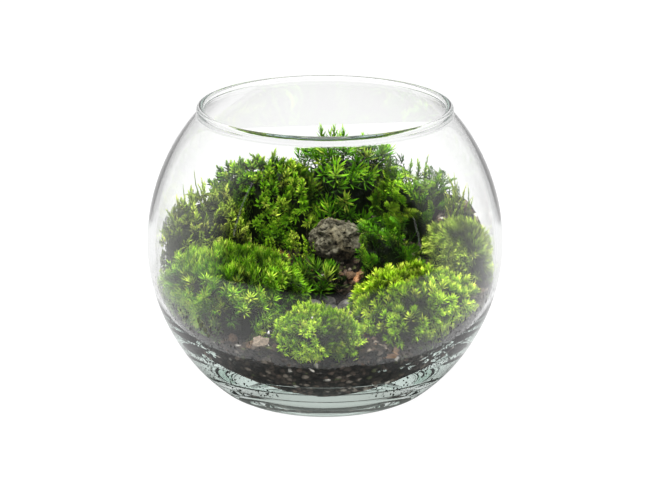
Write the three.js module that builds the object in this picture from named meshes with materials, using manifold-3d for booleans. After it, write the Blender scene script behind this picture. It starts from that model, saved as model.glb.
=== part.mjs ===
// A moss terrarium in a round glass bowl: a clear thick-based bowl holding drainage gravel, dark soil,
// cushions and banks of moss, one rough stone, a few pebbles and bits of bark.
// Millimetres, +Z up, +Y towards the back of the planting. The origin is the centre of the foot.
import * as THREE from "three";
import { mergeVertices } from "three/addons/utils/BufferGeometryUtils.js";
import Module from "manifold-3d";

const wasm = await Module();
wasm.setup();

// The bowl: two half ovals that meet at the equator, a short upright lip and a flat foot ring
const BOWL_RADIUS = 90;
const EQUATOR_Z = 75.4;
const UPPER_REACH = 96.9;
const LOWER_REACH = 93.3;
const BOWL_POWER = 1.96;
const WALL = 3.6;
const BASE_THICKNESS = 7;
const CAVITY_POWER = 2.45;
const RIM_RADIUS = 64;
const RIM_START_Z = 142.9;
const LIP_ROOT = 1.5;
const BOWL_HEIGHT = 147;
const RIM_ROUNDING = 1.7;
const FOOT_RADIUS = 48.5;
const HEEL = { radius: 52.2, z: 0.8 };
const LOWER_START_Z = 2.4;
const FOOT_HOLLOW_RADIUS = 36;
const FOOT_HOLLOW_DEPTH = 1;
const FOOT_HOLLOW_STEP = 2.5;
const SEGMENTS = 36;
const LOWER_STEPS = 6;
const UPPER_STEPS = 4;

// The fill
const GAP = 0.3;
const GRAVEL_TOP = 25;
const SOIL_FRONT = 46;
const BACK_RISE = { height: 30, from: -10, skew: 0.25, run: 75 };
const RIGHT_RISE = { height: 8, from: 38, run: 40 };
const LEFT_RISE = { height: 4, from: 40, run: 40 };
const SOIL_CEILING = 97.4;
const SLAB_RADIUS = 95;
const SLAB_FLOOR = -10;
const SOIL_RINGS = 8;

/** Places at the front glass where the moss is pressed down between the soil and the glass. */
const FRONT_DIPS = [
  { x: -3, halfWidth: 26, depth: 9 },
  { x: 47, halfWidth: 24, depth: 7 },
];
const DIP_START_RADIUS = 60;
const DIP_RUN = 16;

// How far moss keeps from the glass and from the next clump
const GLASS_CLEARANCE = 0.9;
const CLUMP_CLEARANCE = 0.4;

const UP = new THREE.Vector3(0, 0, 1);
const GOLDEN_ANGLE = Math.PI * (3 - Math.sqrt(5));

/** A seeded stream of numbers from 0 to 1 (mulberry32). */
function seeded(seed) {
  let state = seed >>> 0;
  return () => {
    state = (state + 0x6d2b79f5) >>> 0;
    let t = Math.imul(state ^ (state >>> 15), 1 | state);
    t = (t + Math.imul(t ^ (t >>> 7), 61 | t)) ^ t;
    return ((t ^ (t >>> 14)) >>> 0) / 4294967296;
  };
}

function smoothstep(t) {
  const u = Math.min(1, Math.max(0, t));
  return u * u * (3 - 2 * u);
}

/** Points along an oval centred on the equator, between two heights, spaced evenly in angle. */
function ovalArc(radius, reach, power, zFrom, zTo, steps) {
  const angleAt = (z) => {
    const share = Math.min(1, Math.abs((z - EQUATOR_Z) / reach));
    return Math.sign(z - EQUATOR_Z) * Math.asin(share ** (power / 2));
  };
  const from = angleAt(zFrom);
  const to = angleAt(zTo);
  return Array.from({ length: steps + 1 }, (_, i) => {
    const a = from + ((to - from) * i) / steps;
    const dz = reach * Math.sign(a) * Math.abs(Math.sin(a)) ** (2 / power);
    return new THREE.Vector2(radius * Math.max(0, Math.cos(a)) ** (2 / power), EQUATOR_Z + dz);
  });
}

// Solids

/** A closed solid from points and triangles, turned so that its faces point out. */
function solidOf(points, faces) {
  const vertProperties = new Float32Array(points.flatMap((p) => [p.x, p.y, p.z]));
  const build = (list) =>
    new wasm.Manifold(new wasm.Mesh({ numProp: 3, vertProperties, triVerts: new Uint32Array(list.flat()) }));
  const solid = build(faces);
  return solid.volume() < 0 ? build(faces.map(([a, b, c]) => [a, c, b])) : solid;
}

/** The merged points and the triangles of a three.js geometry. */
function pointsAndFaces(geometry) {
  const bare = geometry.clone();
  bare.deleteAttribute("normal");
  bare.deleteAttribute("uv");
  const merged = mergeVertices(bare, 1e-4);
  const position = merged.getAttribute("position");
  const points = Array.from({ length: position.count }, (_, i) =>
    new THREE.Vector3().fromBufferAttribute(position, i),
  );
  const index = merged.index.array;
  const faces = [];
  for (let i = 0; i < index.length; i += 3) {
    const [a, b, c] = [index[i], index[i + 1], index[i + 2]];
    if (a !== b && b !== c && c !== a) faces.push([a, b, c]);
  }
  return { points, faces };
}

/** A closed solid from a three.js geometry. */
function solidOfGeometry(geometry) {
  const { points, faces } = pointsAndFaces(geometry);
  return solidOf(points, faces);
}

/** The largest connected body of a solid: cutting can leave loose scraps. */
function largestBody(solid) {
  return solid.decompose().reduce((best, body) => (body.volume() > best.volume() ? body : best));
}

function meshFrom(solid, name, material) {
  const { vertProperties, triVerts } = solid.getMesh();
  const geometry = new THREE.BufferGeometry();
  geometry.setAttribute("position", new THREE.BufferAttribute(new Float32Array(vertProperties), 3));
  geometry.setIndex(new THREE.BufferAttribute(new Uint32Array(triVerts), 1));
  geometry.computeVertexNormals();
  const mesh = new THREE.Mesh(geometry, material);
  mesh.name = name;
  return mesh;
}

/** A solid of revolution about Z from (radius, height) points. */
function lathe(points) {
  const geometry = new THREE.LatheGeometry(points, SEGMENTS);
  geometry.rotateX(Math.PI / 2);
  return solidOfGeometry(geometry);
}

/** A disc whose top and bottom follow two height functions, on a polar grid. */
function slab(topAt, bottomAt, radius, rings) {
  const points = [new THREE.Vector3(0, 0, topAt(0, 0)), new THREE.Vector3(0, 0, bottomAt(0, 0))];
  for (let j = 1; j <= rings; j++) {
    for (let k = 0; k < SEGMENTS; k++) {
      const phi = (2 * Math.PI * k) / SEGMENTS;
      const x = ((radius * j) / rings) * Math.sin(phi);
      const y = ((radius * j) / rings) * Math.cos(phi);
      points.push(new THREE.Vector3(x, y, topAt(x, y)), new THREE.Vector3(x, y, bottomAt(x, y)));
    }
  }
  const at = (j, k, side) => 2 + 2 * ((j - 1) * SEGMENTS + (k % SEGMENTS)) + side;
  const faces = [];
  for (let k = 0; k < SEGMENTS; k++) {
    faces.push([0, at(1, k, 0), at(1, k + 1, 0)], [1, at(1, k + 1, 1), at(1, k, 1)]);
    for (let j = 1; j < rings; j++) {
      faces.push([at(j, k, 0), at(j + 1, k, 0), at(j + 1, k + 1, 0)]);
      faces.push([at(j, k, 0), at(j + 1, k + 1, 0), at(j, k + 1, 0)]);
      faces.push([at(j, k, 1), at(j + 1, k + 1, 1), at(j + 1, k, 1)]);
      faces.push([at(j, k, 1), at(j, k + 1, 1), at(j + 1, k + 1, 1)]);
    }
    faces.push([at(rings, k, 0), at(rings, k, 1), at(rings, k + 1, 1)]);
    faces.push([at(rings, k, 0), at(rings, k + 1, 1), at(rings, k + 1, 0)]);
  }
  return solidOf(points, faces);
}

// Ground

/** Height of the soil: level at the front, rising to a bank at the back and a little at both sides. */
function soilHeight(x, y) {
  const towardsBack = y - BACK_RISE.from + BACK_RISE.skew * Math.max(0, x);
  const back = BACK_RISE.height * smoothstep(towardsBack / BACK_RISE.run);
  const right = RIGHT_RISE.height * smoothstep((x - RIGHT_RISE.from) / RIGHT_RISE.run);
  const left = LEFT_RISE.height * smoothstep((-x - LEFT_RISE.from) / LEFT_RISE.run);
  const atGlass = y < 0 ? smoothstep((Math.hypot(x, y) - DIP_START_RADIUS) / DIP_RUN) : 0;
  const dips = FRONT_DIPS.reduce((sum, dip) => {
    return sum + dip.depth * atGlass * smoothstep(1 - Math.abs(x - dip.x) / dip.halfWidth);
  }, 0);
  const unevenness = 0.7 * Math.sin(x / 6.5 + 1) * Math.cos(y / 7.5) + 0.5 * Math.sin((x + y) / 4.3);
  return SOIL_FRONT + back + right + left - dips + unevenness;
}

/** The inner face of the bowl from the middle of its floor to the lip, as (radius, height) points. */
function cavityOutline() {
  const radius = BOWL_RADIUS - WALL;
  const depth = EQUATOR_Z - BASE_THICKNESS;
  const lower = ovalArc(radius, depth, CAVITY_POWER, BASE_THICKNESS, EQUATOR_Z, LOWER_STEPS);
  const lipRootZ = RIM_START_Z - LIP_ROOT;
  const upper = ovalArc(radius, UPPER_REACH - WALL, BOWL_POWER, EQUATOR_Z, lipRootZ, UPPER_STEPS);
  lower[0].x = 0;
  return [...lower, ...upper.slice(1)];
}

const CAVITY_OUTLINE = cavityOutline();

/** Inner radius of the glass at a height. */
function cavityRadius(z) {
  const i = CAVITY_OUTLINE.findIndex((p) => p.y >= z);
  if (i < 1) return CAVITY_OUTLINE.at(i).x;
  const [a, b] = [CAVITY_OUTLINE[i - 1], CAVITY_OUTLINE[i]];
  return THREE.MathUtils.mapLinear(z, a.y, b.y, a.x, b.x);
}

/** The cavity between two heights, moved in and up so that it clears the glass by a gap all over. */
function cavityFill(zFrom, zTo) {
  const wall = CAVITY_OUTLINE.map((p) => new THREE.Vector2(p.x - GAP, p.y + GAP));
  return lathe([
    new THREE.Vector2(0, zFrom),
    new THREE.Vector2(Math.max(0, cavityRadius(zFrom - GAP) - GAP), zFrom),
    ...wall.filter((p) => p.y > zFrom && p.y < zTo),
    new THREE.Vector2(cavityRadius(zTo - GAP) - GAP, zTo),
    new THREE.Vector2(0, zTo),
  ].filter((p, i, all) => i === 0 || p.distanceTo(all[i - 1]) > 0.01));
}

function makeGravel() {
  return cavityFill(BASE_THICKNESS + GAP, GRAVEL_TOP);
}

function makeSoil() {
  const ground = slab(soilHeight, () => SLAB_FLOOR, SLAB_RADIUS, SOIL_RINGS);
  return cavityFill(GRAVEL_TOP + GAP, SOIL_CEILING).intersect(ground);
}

/** Everything below the soil's face and a gap over it: what rests on the soil is cut with this. */
const GROUND_CUTTER = slab((x, y) => soilHeight(x, y) + GAP, () => SLAB_FLOOR, SLAB_RADIUS, SOIL_RINGS);

function makeBowl() {
  const lipMiddle = RIM_RADIUS - WALL / 2;
  const lipTop = BOWL_HEIGHT - RIM_ROUNDING;
  const foot = [
    new THREE.Vector2(0, FOOT_HOLLOW_DEPTH),
    new THREE.Vector2(FOOT_HOLLOW_RADIUS, FOOT_HOLLOW_DEPTH),
    new THREE.Vector2(FOOT_HOLLOW_RADIUS + FOOT_HOLLOW_STEP, 0),
    new THREE.Vector2(FOOT_RADIUS, 0),
    new THREE.Vector2(HEEL.radius, HEEL.z),
  ];
  const lower = ovalArc(BOWL_RADIUS, LOWER_REACH, BOWL_POWER, LOWER_START_Z, EQUATOR_Z, LOWER_STEPS);
  const upper = ovalArc(BOWL_RADIUS, UPPER_REACH, BOWL_POWER, EQUATOR_Z, RIM_START_Z, UPPER_STEPS);
  const lip = [0, 90, 180].map((degrees) => {
    const a = THREE.MathUtils.degToRad(degrees);
    return new THREE.Vector2(lipMiddle + (WALL / 2) * Math.cos(a), lipTop + RIM_ROUNDING * Math.sin(a));
  });
  return lathe([...foot, ...lower, ...upper.slice(1), ...lip, ...CAVITY_OUTLINE.toReversed()]);
}

// Stones and litter

/** A rough lump: a divided ball with flats on it, pushed in and out by waves, sunk a share into the soil. */
function rock({ at, size, detail, roughness, sink, seed, flats = 0 }, grow = 0) {
  const random = seeded(seed);
  const waves = Array.from({ length: 7 }, (_, i) => ({
    axis: new THREE.Vector3(random() - 0.5, random() - 0.5, random() - 0.5).normalize(),
    rate: 2.2 + 1.5 * i,
    phase: random() * 6,
    share: roughness / (1 + 0.55 * i),
  }));
  const cuts = Array.from({ length: flats }, (_, i) => {
    const height = 0.95 - (1.5 * (i + 0.5)) / flats;
    const around = i * GOLDEN_ANGLE + random();
    const flat = Math.sqrt(1 - height * height);
    const normal = new THREE.Vector3(flat * Math.cos(around), flat * Math.sin(around), height);
    return { normal, depth: 0.76 + 0.16 * random() };
  });
  const [x, y] = at;
  const centreZ = soilHeight(x, y) + size[2] * (1 - sink);
  const halves = new THREE.Vector3(...size).addScalar(grow);
  const geometry = new THREE.IcosahedronGeometry(1, detail);
  const position = geometry.getAttribute("position");
  const p = new THREE.Vector3();
  for (let i = 0; i < position.count; i++) {
    p.fromBufferAttribute(position, i).normalize();
    const bump = waves.reduce((sum, w) => sum + w.share * Math.sin(w.rate * p.dot(w.axis) + w.phase), 0);
    const flat = cuts.reduce((least, cut) => {
      return Math.min(least, cut.depth / Math.max(0.01, p.dot(cut.normal)));
    }, 1);
    p.multiplyScalar(flat + bump).multiply(halves);
    position.setXYZ(i, x + p.x, y + p.y, centreZ + p.z);
  }
  return solidOfGeometry(geometry);
}

const FLAKE_STEPS = 4;
const FLAKE_THICKNESS = 2.4;
const FLAKE_SINK = 1;

/** A curled flake of bark: a thin slab with a bowed top, lying on the soil. */
function barkFlake({ at, length, width, turn, seed }, grow = 0) {
  const random = seeded(seed);
  const steps = FLAKE_STEPS;
  const points = [];
  const along = new THREE.Vector2(Math.cos(turn), Math.sin(turn));
  for (let i = 0; i <= steps; i++) {
    const share = i / steps - 0.5;
    const half = (width / 2) * (1 - 1.5 * share * share) * (0.85 + 0.3 * random()) + grow;
    const thickness = FLAKE_THICKNESS - 4 * share * share + 0.4 * random() + grow;
    for (const across of [-half, half]) {
      const px = at[0] + along.x * (length + 2 * grow) * share - along.y * across;
      const py = at[1] + along.y * (length + 2 * grow) * share + along.x * across;
      const ground = soilHeight(px, py);
      points.push(new THREE.Vector3(px, py, ground + thickness));
      points.push(new THREE.Vector3(px, py, ground - FLAKE_SINK));
    }
  }
  const faces = [[0, 1, 3], [0, 3, 2]];
  for (let i = 0; i < steps; i++) {
    const [a, b] = [4 * i, 4 * (i + 1)];
    faces.push([a, a + 2, b + 2], [a, b + 2, b], [a + 1, b + 1, b + 3], [a + 1, b + 3, a + 3]);
    faces.push([a, b, b + 1], [a, b + 1, a + 1], [a + 2, a + 3, b + 3], [a + 2, b + 3, b + 2]);
  }
  const last = 4 * steps;
  faces.push([last, last + 2, last + 3], [last, last + 3, last + 1]);
  return solidOf(points, faces);
}

const FEATURE_STONE = {
  at: [4.5, 23],
  size: [13.6, 10, 11.4],
  detail: 3,
  roughness: 0.045,
  sink: 0.1,
  flats: 11,
  seed: 31,
};

const PEBBLES = [
  { at: [1, -11.5], size: [4.6, 3, 2.4] },
  { at: [11.5, -15.5], size: [5, 3.4, 2.4] },
  { at: [-6, -17], size: [4.4, 3.4, 2.2] },
  { at: [3, -22], size: [4.8, 3.8, 2.6] },
  { at: [14.5, -7], size: [3.6, 2.8, 2] },
  { at: [-6, -30], size: [4.2, 3.2, 2.4] },
].map((pebble, i) => ({ ...pebble, detail: 1, roughness: 0.035, sink: 0.3, seed: 41 + i }));

const FLAKES = [
  { at: [-19.5, 4.5], length: 7, width: 3.6, turn: 1.9, seed: 51 },
  { at: [15.5, 8], length: 6.5, width: 4.4, turn: 0.5, seed: 52 },
];

/** What is kept clear of moss: the ground, and each loose thing that lies on it, with a gap. */
const MOSS_CUTTER = wasm.Manifold.union([
  GROUND_CUTTER,
  ...[FEATURE_STONE, ...PEBBLES].map((stone) => rock(stone, 2 * GAP)),
  ...FLAKES.map((flake) => barkFlake(flake, 2 * GAP)),
]);

// Room for each clump: the plan is shared out so that no clump reaches into another

/** Every thing that stands on the soil, with its place, half widths and the height of its top. */
const PLACES = {
  cushion_moss_front_left: { at: [-47, -28], reach: [33, 37], top: 70 },
  cushion_moss_front_right: { at: [45, -31], reach: [29, 34], top: 62.5 },
  cushion_moss_front_centre: { at: [-4, -63], reach: [20, 18], top: 57 },
  star_moss_centre: { at: [-3, 0], reach: [16, 14], top: 53 },
  fine_moss_dome_right: { at: [69, 3], reach: [18, 19], top: 79 },
  mound_moss_back_left: { at: [-32, 46], reach: [33, 29], top: 100 },
  fern_moss_bank_left: { at: [-64, 21], reach: [27, 34], top: 90 },
  star_moss_bank_back: { at: [13, 58], reach: [33, 29], top: 98 },
  fern_moss_bank_right: { at: [47, 43], reach: [29, 27], top: 92 },
  wispy_moss_right: { at: [70, 32], reach: [17, 20], top: 84 },
  feather_moss_centre_left: { at: [-27, 13], reach: [22, 18], top: 66 },
  feather_moss_centre_right: { at: [32, 12], reach: [22, 19], top: 71 },
  feature_stone: { at: [4.5, 23], reach: [13, 11], top: 80 },
};

/** The half-planes of the plan that belong to one place, each as {x, y, limit}. */
function cellOf(name) {
  const { at, reach } = PLACES[name];
  const size = (reach[0] + reach[1]) / 2;
  return Object.keys(PLACES)
    .filter((other) => other !== name)
    .map((other) => {
      const b = PLACES[other];
      const otherSize = (b.reach[0] + b.reach[1]) / 2;
      const dx = b.at[0] - at[0];
      const dy = b.at[1] - at[1];
      const distance = Math.hypot(dx, dy);
      const share = (distance * distance + size * size - otherSize * otherSize) / (2 * distance);
      const limit = share + (dx * at[0] + dy * at[1]) / distance - CLUMP_CLEARANCE;
      return { x: dx / distance, y: dy / distance, limit };
    });
}

/** How far along the line from the middle of a clump to a point there is room: 1 or more is inside. */
function roomTowards(point, name, cell, inset = 0) {
  const [cx, cy] = PLACES[name].at;
  const dx = point.x - cx;
  const dy = point.y - cy;
  const far = dx * dx + dy * dy;
  if (far < 1e-9) return 1;
  const wall = (cavityRadius(point.z) - GLASS_CLEARANCE) * Math.cos(Math.PI / SEGMENTS) - inset;
  const inward = cx * dx + cy * dy;
  const spare = inward * inward - far * (cx * cx + cy * cy - wall * wall);
  const toWall = (Math.sqrt(Math.max(0, spare)) - inward) / far;
  return cell.reduce((share, edge) => {
    const start = edge.x * cx + edge.y * cy;
    const rise = edge.x * dx + edge.y * dy;
    return rise > 0 ? Math.min(share, Math.max(0.1, edge.limit - inset - start) / rise) : share;
  }, toWall);
}

/** Draws a point towards the middle of its clump until it is clear of the other clumps and the glass. */
function keepInside(point, name, cell, inset = 0) {
  const share = Math.min(1, roomTowards(point, name, cell, inset));
  point.x = PLACES[name].at[0] + (point.x - PLACES[name].at[0]) * share;
  point.y = PLACES[name].at[1] + (point.y - PLACES[name].at[1]) * share;
  return point;
}

// Growth forms

const SIDE_FULLNESS = 0.85;
const CROWN_FULLNESS = 0.75;
const BELLY_DEPTH = 3;
const SHOOT_LEAN = 0.4;
const SHOOT_SCATTER = 0.16;
const SHOOT_LIFT = 0.35;
const LEAST_SPIKE = 0.35;

/** A point of a clump's rounded core: tilt 0 is its crown, a quarter turn its foot, and more is below it. */
function corePoint(name, cell, form, tilt, phi) {
  const { at, reach, top } = PLACES[name];
  const spread = form.coreShare * Math.sin(tilt) ** SIDE_FULLNESS;
  const lumps = 1 + form.lumps * Math.sin(3 * phi + form.phase) * Math.sin(tilt);
  const sag = 1 + form.lumps * 0.5 * Math.sin(5 * phi + 2 * form.phase + 3 * tilt) * Math.sin(tilt);
  const rise = (top - form.foot) * Math.max(0, Math.cos(tilt)) ** CROWN_FULLNESS * sag;
  const height = Math.cos(tilt) > 0 ? rise : BELLY_DEPTH * Math.cos(tilt);
  const point = new THREE.Vector3(
    at[0] + reach[0] * spread * lumps * Math.cos(phi),
    at[1] + reach[1] * spread * lumps * Math.sin(phi),
    form.foot + height,
  );
  return keepInside(point, name, cell, form.inset);
}

/** A core whose faces rise to spikes above the ground: each is a leafy shoot, leaning with its neighbours. */
function spikyCore(name, cell, form, random) {
  const ball = pointsAndFaces(new THREE.IcosahedronGeometry(1, form.detail));
  const points = ball.points.map((d) => {
    const tilt = Math.acos(THREE.MathUtils.clamp(d.z, -1, 1));
    return corePoint(name, cell, form, tilt, Math.atan2(d.y, d.x));
  });
  const faces = [];
  for (const [a, b, c] of ball.faces) {
    const corners = [points[a], points[b], points[c]];
    const middle = corners.reduce((sum, p) => sum.add(p), new THREE.Vector3()).divideScalar(3);
    const normal = new THREE.Vector3()
      .crossVectors(corners[1].clone().sub(corners[0]), corners[2].clone().sub(corners[0]))
      .normalize();
    const lean = new THREE.Vector3(
      SHOOT_LEAN * Math.sin(middle.x / 8 + form.phase) + SHOOT_SCATTER * (random() - 0.5),
      SHOOT_LEAN * Math.sin(middle.y / 9 + 2 * form.phase) + SHOOT_SCATTER * (random() - 0.5),
      SHOOT_LIFT,
    );
    const tip = middle
      .clone()
      .addScaledVector(lean.add(normal).normalize(), form.spike * (0.7 + 0.5 * random()));
    keepInside(tip, name, cell);
    const height = tip.clone().sub(middle).dot(normal);
    const isAboveGround = middle.z > soilHeight(middle.x, middle.y) - 1;
    if (isAboveGround && height > LEAST_SPIKE * form.spike) {
      const t = points.push(tip) - 1;
      faces.push([a, b, t], [b, c, t], [c, a, t]);
    } else {
      faces.push([a, b, c]);
    }
  }
  return solidOf(points, faces);
}

/** Two directions across a given one. */
function crossDirections(direction) {
  const side = new THREE.Vector3().crossVectors(direction, UP);
  if (side.lengthSq() < 1e-4) side.set(1, 0, 0);
  side.normalize();
  return [side, new THREE.Vector3().crossVectors(side, direction).normalize()];
}

/** A three-sided needle from a root to a tip. */
function needle(root, tip, width, spin) {
  const [side, across] = crossDirections(new THREE.Vector3().subVectors(tip, root).normalize());
  const ring = [0, 1, 2].map((i) => {
    const a = spin + (2 * Math.PI * i) / 3;
    return root
      .clone()
      .addScaledVector(side, (width / 2) * Math.cos(a))
      .addScaledVector(across, (width / 2) * Math.sin(a));
  });
  return solidOf([...ring, tip], [[0, 1, 2], [0, 3, 1], [1, 3, 2], [2, 3, 0]]);
}

const BLADE_THICKNESS = 0.7;
const RIB_HALF_WIDTH = 0.45;
const FROND_DROP = 0.9;

/** An arched frond: a rib with pairs of pointed leaflets cut to it, all one thin blade. */
function frond({ root, heading, lift, length, width, pairs }) {
  const outward = heading.clone().setZ(0).normalize();
  const side = new THREE.Vector3(-outward.y, outward.x, 0);
  const place = (share, across) => {
    const run = length * share;
    const height = lift * run - FROND_DROP * length * share * share - 0.12 * Math.abs(across);
    const point = root.clone().addScaledVector(outward, run).addScaledVector(side, across);
    point.z += height;
    return point;
  };
  const half = (share) => (width / 2) * Math.sin(Math.PI * Math.min(0.97, 0.18 + 0.8 * share)) ** 0.8;
  const top = [];
  const faces = [];
  const add = (point) => top.push(point) - 1;
  let left = add(place(0, RIB_HALF_WIDTH));
  let right = add(place(0, -RIB_HALF_WIDTH));
  const leftEdge = [left];
  const rightEdge = [right];
  for (let i = 0; i < pairs; i++) {
    const share = (i + 1) / (pairs + 0.6);
    const tipShare = share + 0.32 / pairs;
    const ribHere = RIB_HALF_WIDTH * (1 - 0.5 * share);
    const nextLeft = add(place(share, ribHere));
    const nextRight = add(place(share, -ribHere));
    const tipLeft = add(place(tipShare, half(share)));
    const tipRight = add(place(tipShare, -half(share)));
    faces.push([left, right, nextRight], [left, nextRight, nextLeft]);
    faces.push([left, nextLeft, tipLeft], [right, tipRight, nextRight]);
    leftEdge.push(tipLeft, nextLeft);
    rightEdge.push(tipRight, nextRight);
    [left, right] = [nextLeft, nextRight];
  }
  const end = add(place(1, 0));
  faces.push([left, right, end]);
  const outline = [...leftEdge, end, ...rightEdge.reverse()];
  const count = top.length;
  const lower = top.map((p) => new THREE.Vector3(p.x, p.y, p.z - BLADE_THICKNESS));
  const under = faces.map(([a, b, c]) => [a + count, c + count, b + count]);
  const walls = outline.flatMap((a, i) => {
    const b = outline[(i + 1) % outline.length];
    return [[a, b, b + count], [a, b + count, a + count]];
  });
  return solidOf([...top, ...lower], [...faces, ...under, ...walls]);
}

/** The share of a frond's size that has room: found by shrinking it until its tip and sides are inside. */
function frondRoom(root, heading, length, width, room) {
  const side = new THREE.Vector3(-heading.y, heading.x, 0);
  const isInside = (share) =>
    [[1, 0], [0.6, 0.5], [0.6, -0.5], [0.9, 0.3], [0.9, -0.3]].every(([along, across]) => {
      const p = root.clone().addScaledVector(heading, along * share * length);
      return room(p.addScaledVector(side, across * share * width).addScaledVector(UP, 0.4 * length)) >= 1;
    });
  let share = 1;
  while (share > 0.3 && !isInside(share)) share -= 0.05;
  return share;
}

const STALK_WIDTH = 1.7;
const STALK_LEAFLETS = 3;

/** A sparsely leaved stalk: a tapered three-sided stem on a gentle curve, with a few short leaflets. */
function stalk(root, tip, bow, random) {
  const middle = root.clone().lerp(tip, 0.55).add(bow);
  const curve = new THREE.QuadraticBezierCurve3(root, middle, tip);
  const steps = 3;
  const sides = 3;
  const points = [];
  for (let i = 0; i < steps; i++) {
    const share = i / steps;
    const [side, across] = crossDirections(curve.getTangent(share));
    for (let k = 0; k < sides; k++) {
      const a = (2 * Math.PI * k) / sides;
      const radius = (STALK_WIDTH / 2) * (1 - 0.5 * share);
      points.push(
        curve
          .getPoint(share)
          .addScaledVector(side, radius * Math.cos(a))
          .addScaledVector(across, radius * Math.sin(a)),
      );
    }
  }
  points.push(tip);
  const at = (i, k) => i * sides + (k % sides);
  const faces = [[0, 1, 2]];
  for (let k = 0; k < sides; k++) {
    for (let i = 0; i < steps - 1; i++) {
      faces.push([at(i, k), at(i + 1, k + 1), at(i, k + 1)], [at(i, k), at(i + 1, k), at(i + 1, k + 1)]);
    }
    faces.push([at(steps - 1, k), points.length - 1, at(steps - 1, k + 1)]);
  }
  const parts = [solidOf(points, faces)];
  for (let i = 0; i < STALK_LEAFLETS; i++) {
    const share = 0.4 + (0.5 * i) / STALK_LEAFLETS;
    const from = curve.getPoint(share);
    const [side, across] = crossDirections(curve.getTangent(share));
    const a = i * GOLDEN_ANGLE + random();
    const reachOut = side.multiplyScalar(Math.cos(a)).addScaledVector(across, Math.sin(a));
    const leafTip = from.clone().addScaledVector(reachOut, 2.4).addScaledVector(curve.getTangent(share), 2);
    parts.push(needle(from, leafTip, 1, a));
  }
  return wasm.Manifold.union(parts);
}

/** A ring of pointed leaves as one star-shaped solid, with its middle thick and its tips raised or spread. */
function leafStar(crown, axis, { leaves, length, rise, spin, keep, random }) {
  const [side, across] = crossDirections(axis);
  const outAt = (a) => side.clone().multiplyScalar(Math.cos(a)).addScaledVector(across, Math.sin(a));
  const points = [1.2, -1.8].map((offset) => keep(crown.clone().addScaledVector(axis, offset)));
  for (let i = 0; i < leaves; i++) {
    const a = spin + (2 * Math.PI * (i + 0.25 * (random() - 0.5))) / leaves;
    const reach = length * (0.82 + 0.3 * random());
    const tip = crown.clone().addScaledVector(outAt(a), reach * Math.cos(rise));
    points.push(keep(tip.addScaledVector(axis, reach * Math.sin(rise))));
    const valley = crown.clone().addScaledVector(outAt(spin + (2 * Math.PI * (i + 0.5)) / leaves), 1.9);
    points.push(keep(valley.addScaledVector(axis, 0.5 * Math.sin(rise))));
  }
  const ring = 2 * leaves;
  const faces = [];
  for (let k = 0; k < ring; k++) {
    const next = (k + 1) % ring;
    faces.push([0, 2 + k, 2 + next], [1, 2 + next, 2 + k]);
  }
  return solidOf(points, faces);
}

/** A star shoot: a stem that ends in a ring of leaves, and on a tall shoot a smaller, more upright one. */
function starShoot(root, crown, isTall, leafLength, keep, random) {
  const axis = new THREE.Vector3().subVectors(crown, root).normalize().lerp(UP, 0.3).normalize();
  const spin = random() * 6;
  const lower = { leaves: 7, length: leafLength, rise: 0.3 + 0.3 * random(), spin, keep, random };
  const parts = [needle(root, crown.clone().addScaledVector(axis, 1), 3, spin), leafStar(crown, axis, lower)];
  if (isTall) {
    const upper = { leaves: 5, length: leafLength * 0.75, rise: 1, spin: spin + 0.5, keep, random };
    parts.push(leafStar(crown.clone().addScaledVector(axis, 1.3), axis, upper));
  }
  return wasm.Manifold.union(parts);
}

/** Even places over a core, from its crown down: {point, normal, tilt, phi} for each. */
function placesOver(name, cell, form, count, lowest, random) {
  return Array.from({ length: count }, (_, i) => {
    const tilt = Math.acos(1 - ((i + 0.5) / count) * (1 - Math.cos(lowest)));
    const phi = i * GOLDEN_ANGLE + form.phase + 0.3 * random();
    const point = corePoint(name, cell, form, tilt, phi);
    const byTilt = corePoint(name, cell, form, tilt + 0.06, phi).sub(point);
    const byPhi = corePoint(name, cell, form, tilt, phi + 0.06).sub(point);
    const normal = byTilt.cross(byPhi);
    if (normal.lengthSq() < 1e-6) normal.copy(UP);
    return { point, normal: normal.normalize(), tilt, phi };
  }).filter(({ point }) => point.z > soilHeight(point.x, point.y) + 1.5);
}

/** A core and what grows on it as one body, cut to stand on the soil. */
function joinClump(parts) {
  const joined = wasm.Manifold.union(parts);
  return largestBody(joined.subtract(MOSS_CUTTER).simplify(0.1));
}

/** The form of a clump's core, its foot just below all the ground that it stands on. */
function formOf(name, seed, options) {
  const { at, reach } = PLACES[name];
  const ground = Array.from({ length: 12 }, (_, k) => {
    const phi = (Math.PI * k) / 6;
    return soilHeight(at[0] + reach[0] * Math.cos(phi), at[1] + reach[1] * Math.sin(phi));
  });
  const foot = Math.min(...ground) - 1;
  return { detail: 3, spike: 4, inset: 5, coreShare: 1, lumps: 0.05, phase: seed * 1.7, foot, ...options };
}

/** A cushion: a dome of close, pointed shoots. */
function cushion(name, seed, options) {
  const cell = cellOf(name);
  return joinClump([spikyCore(name, cell, formOf(name, seed, options), seeded(seed))]);
}

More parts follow.
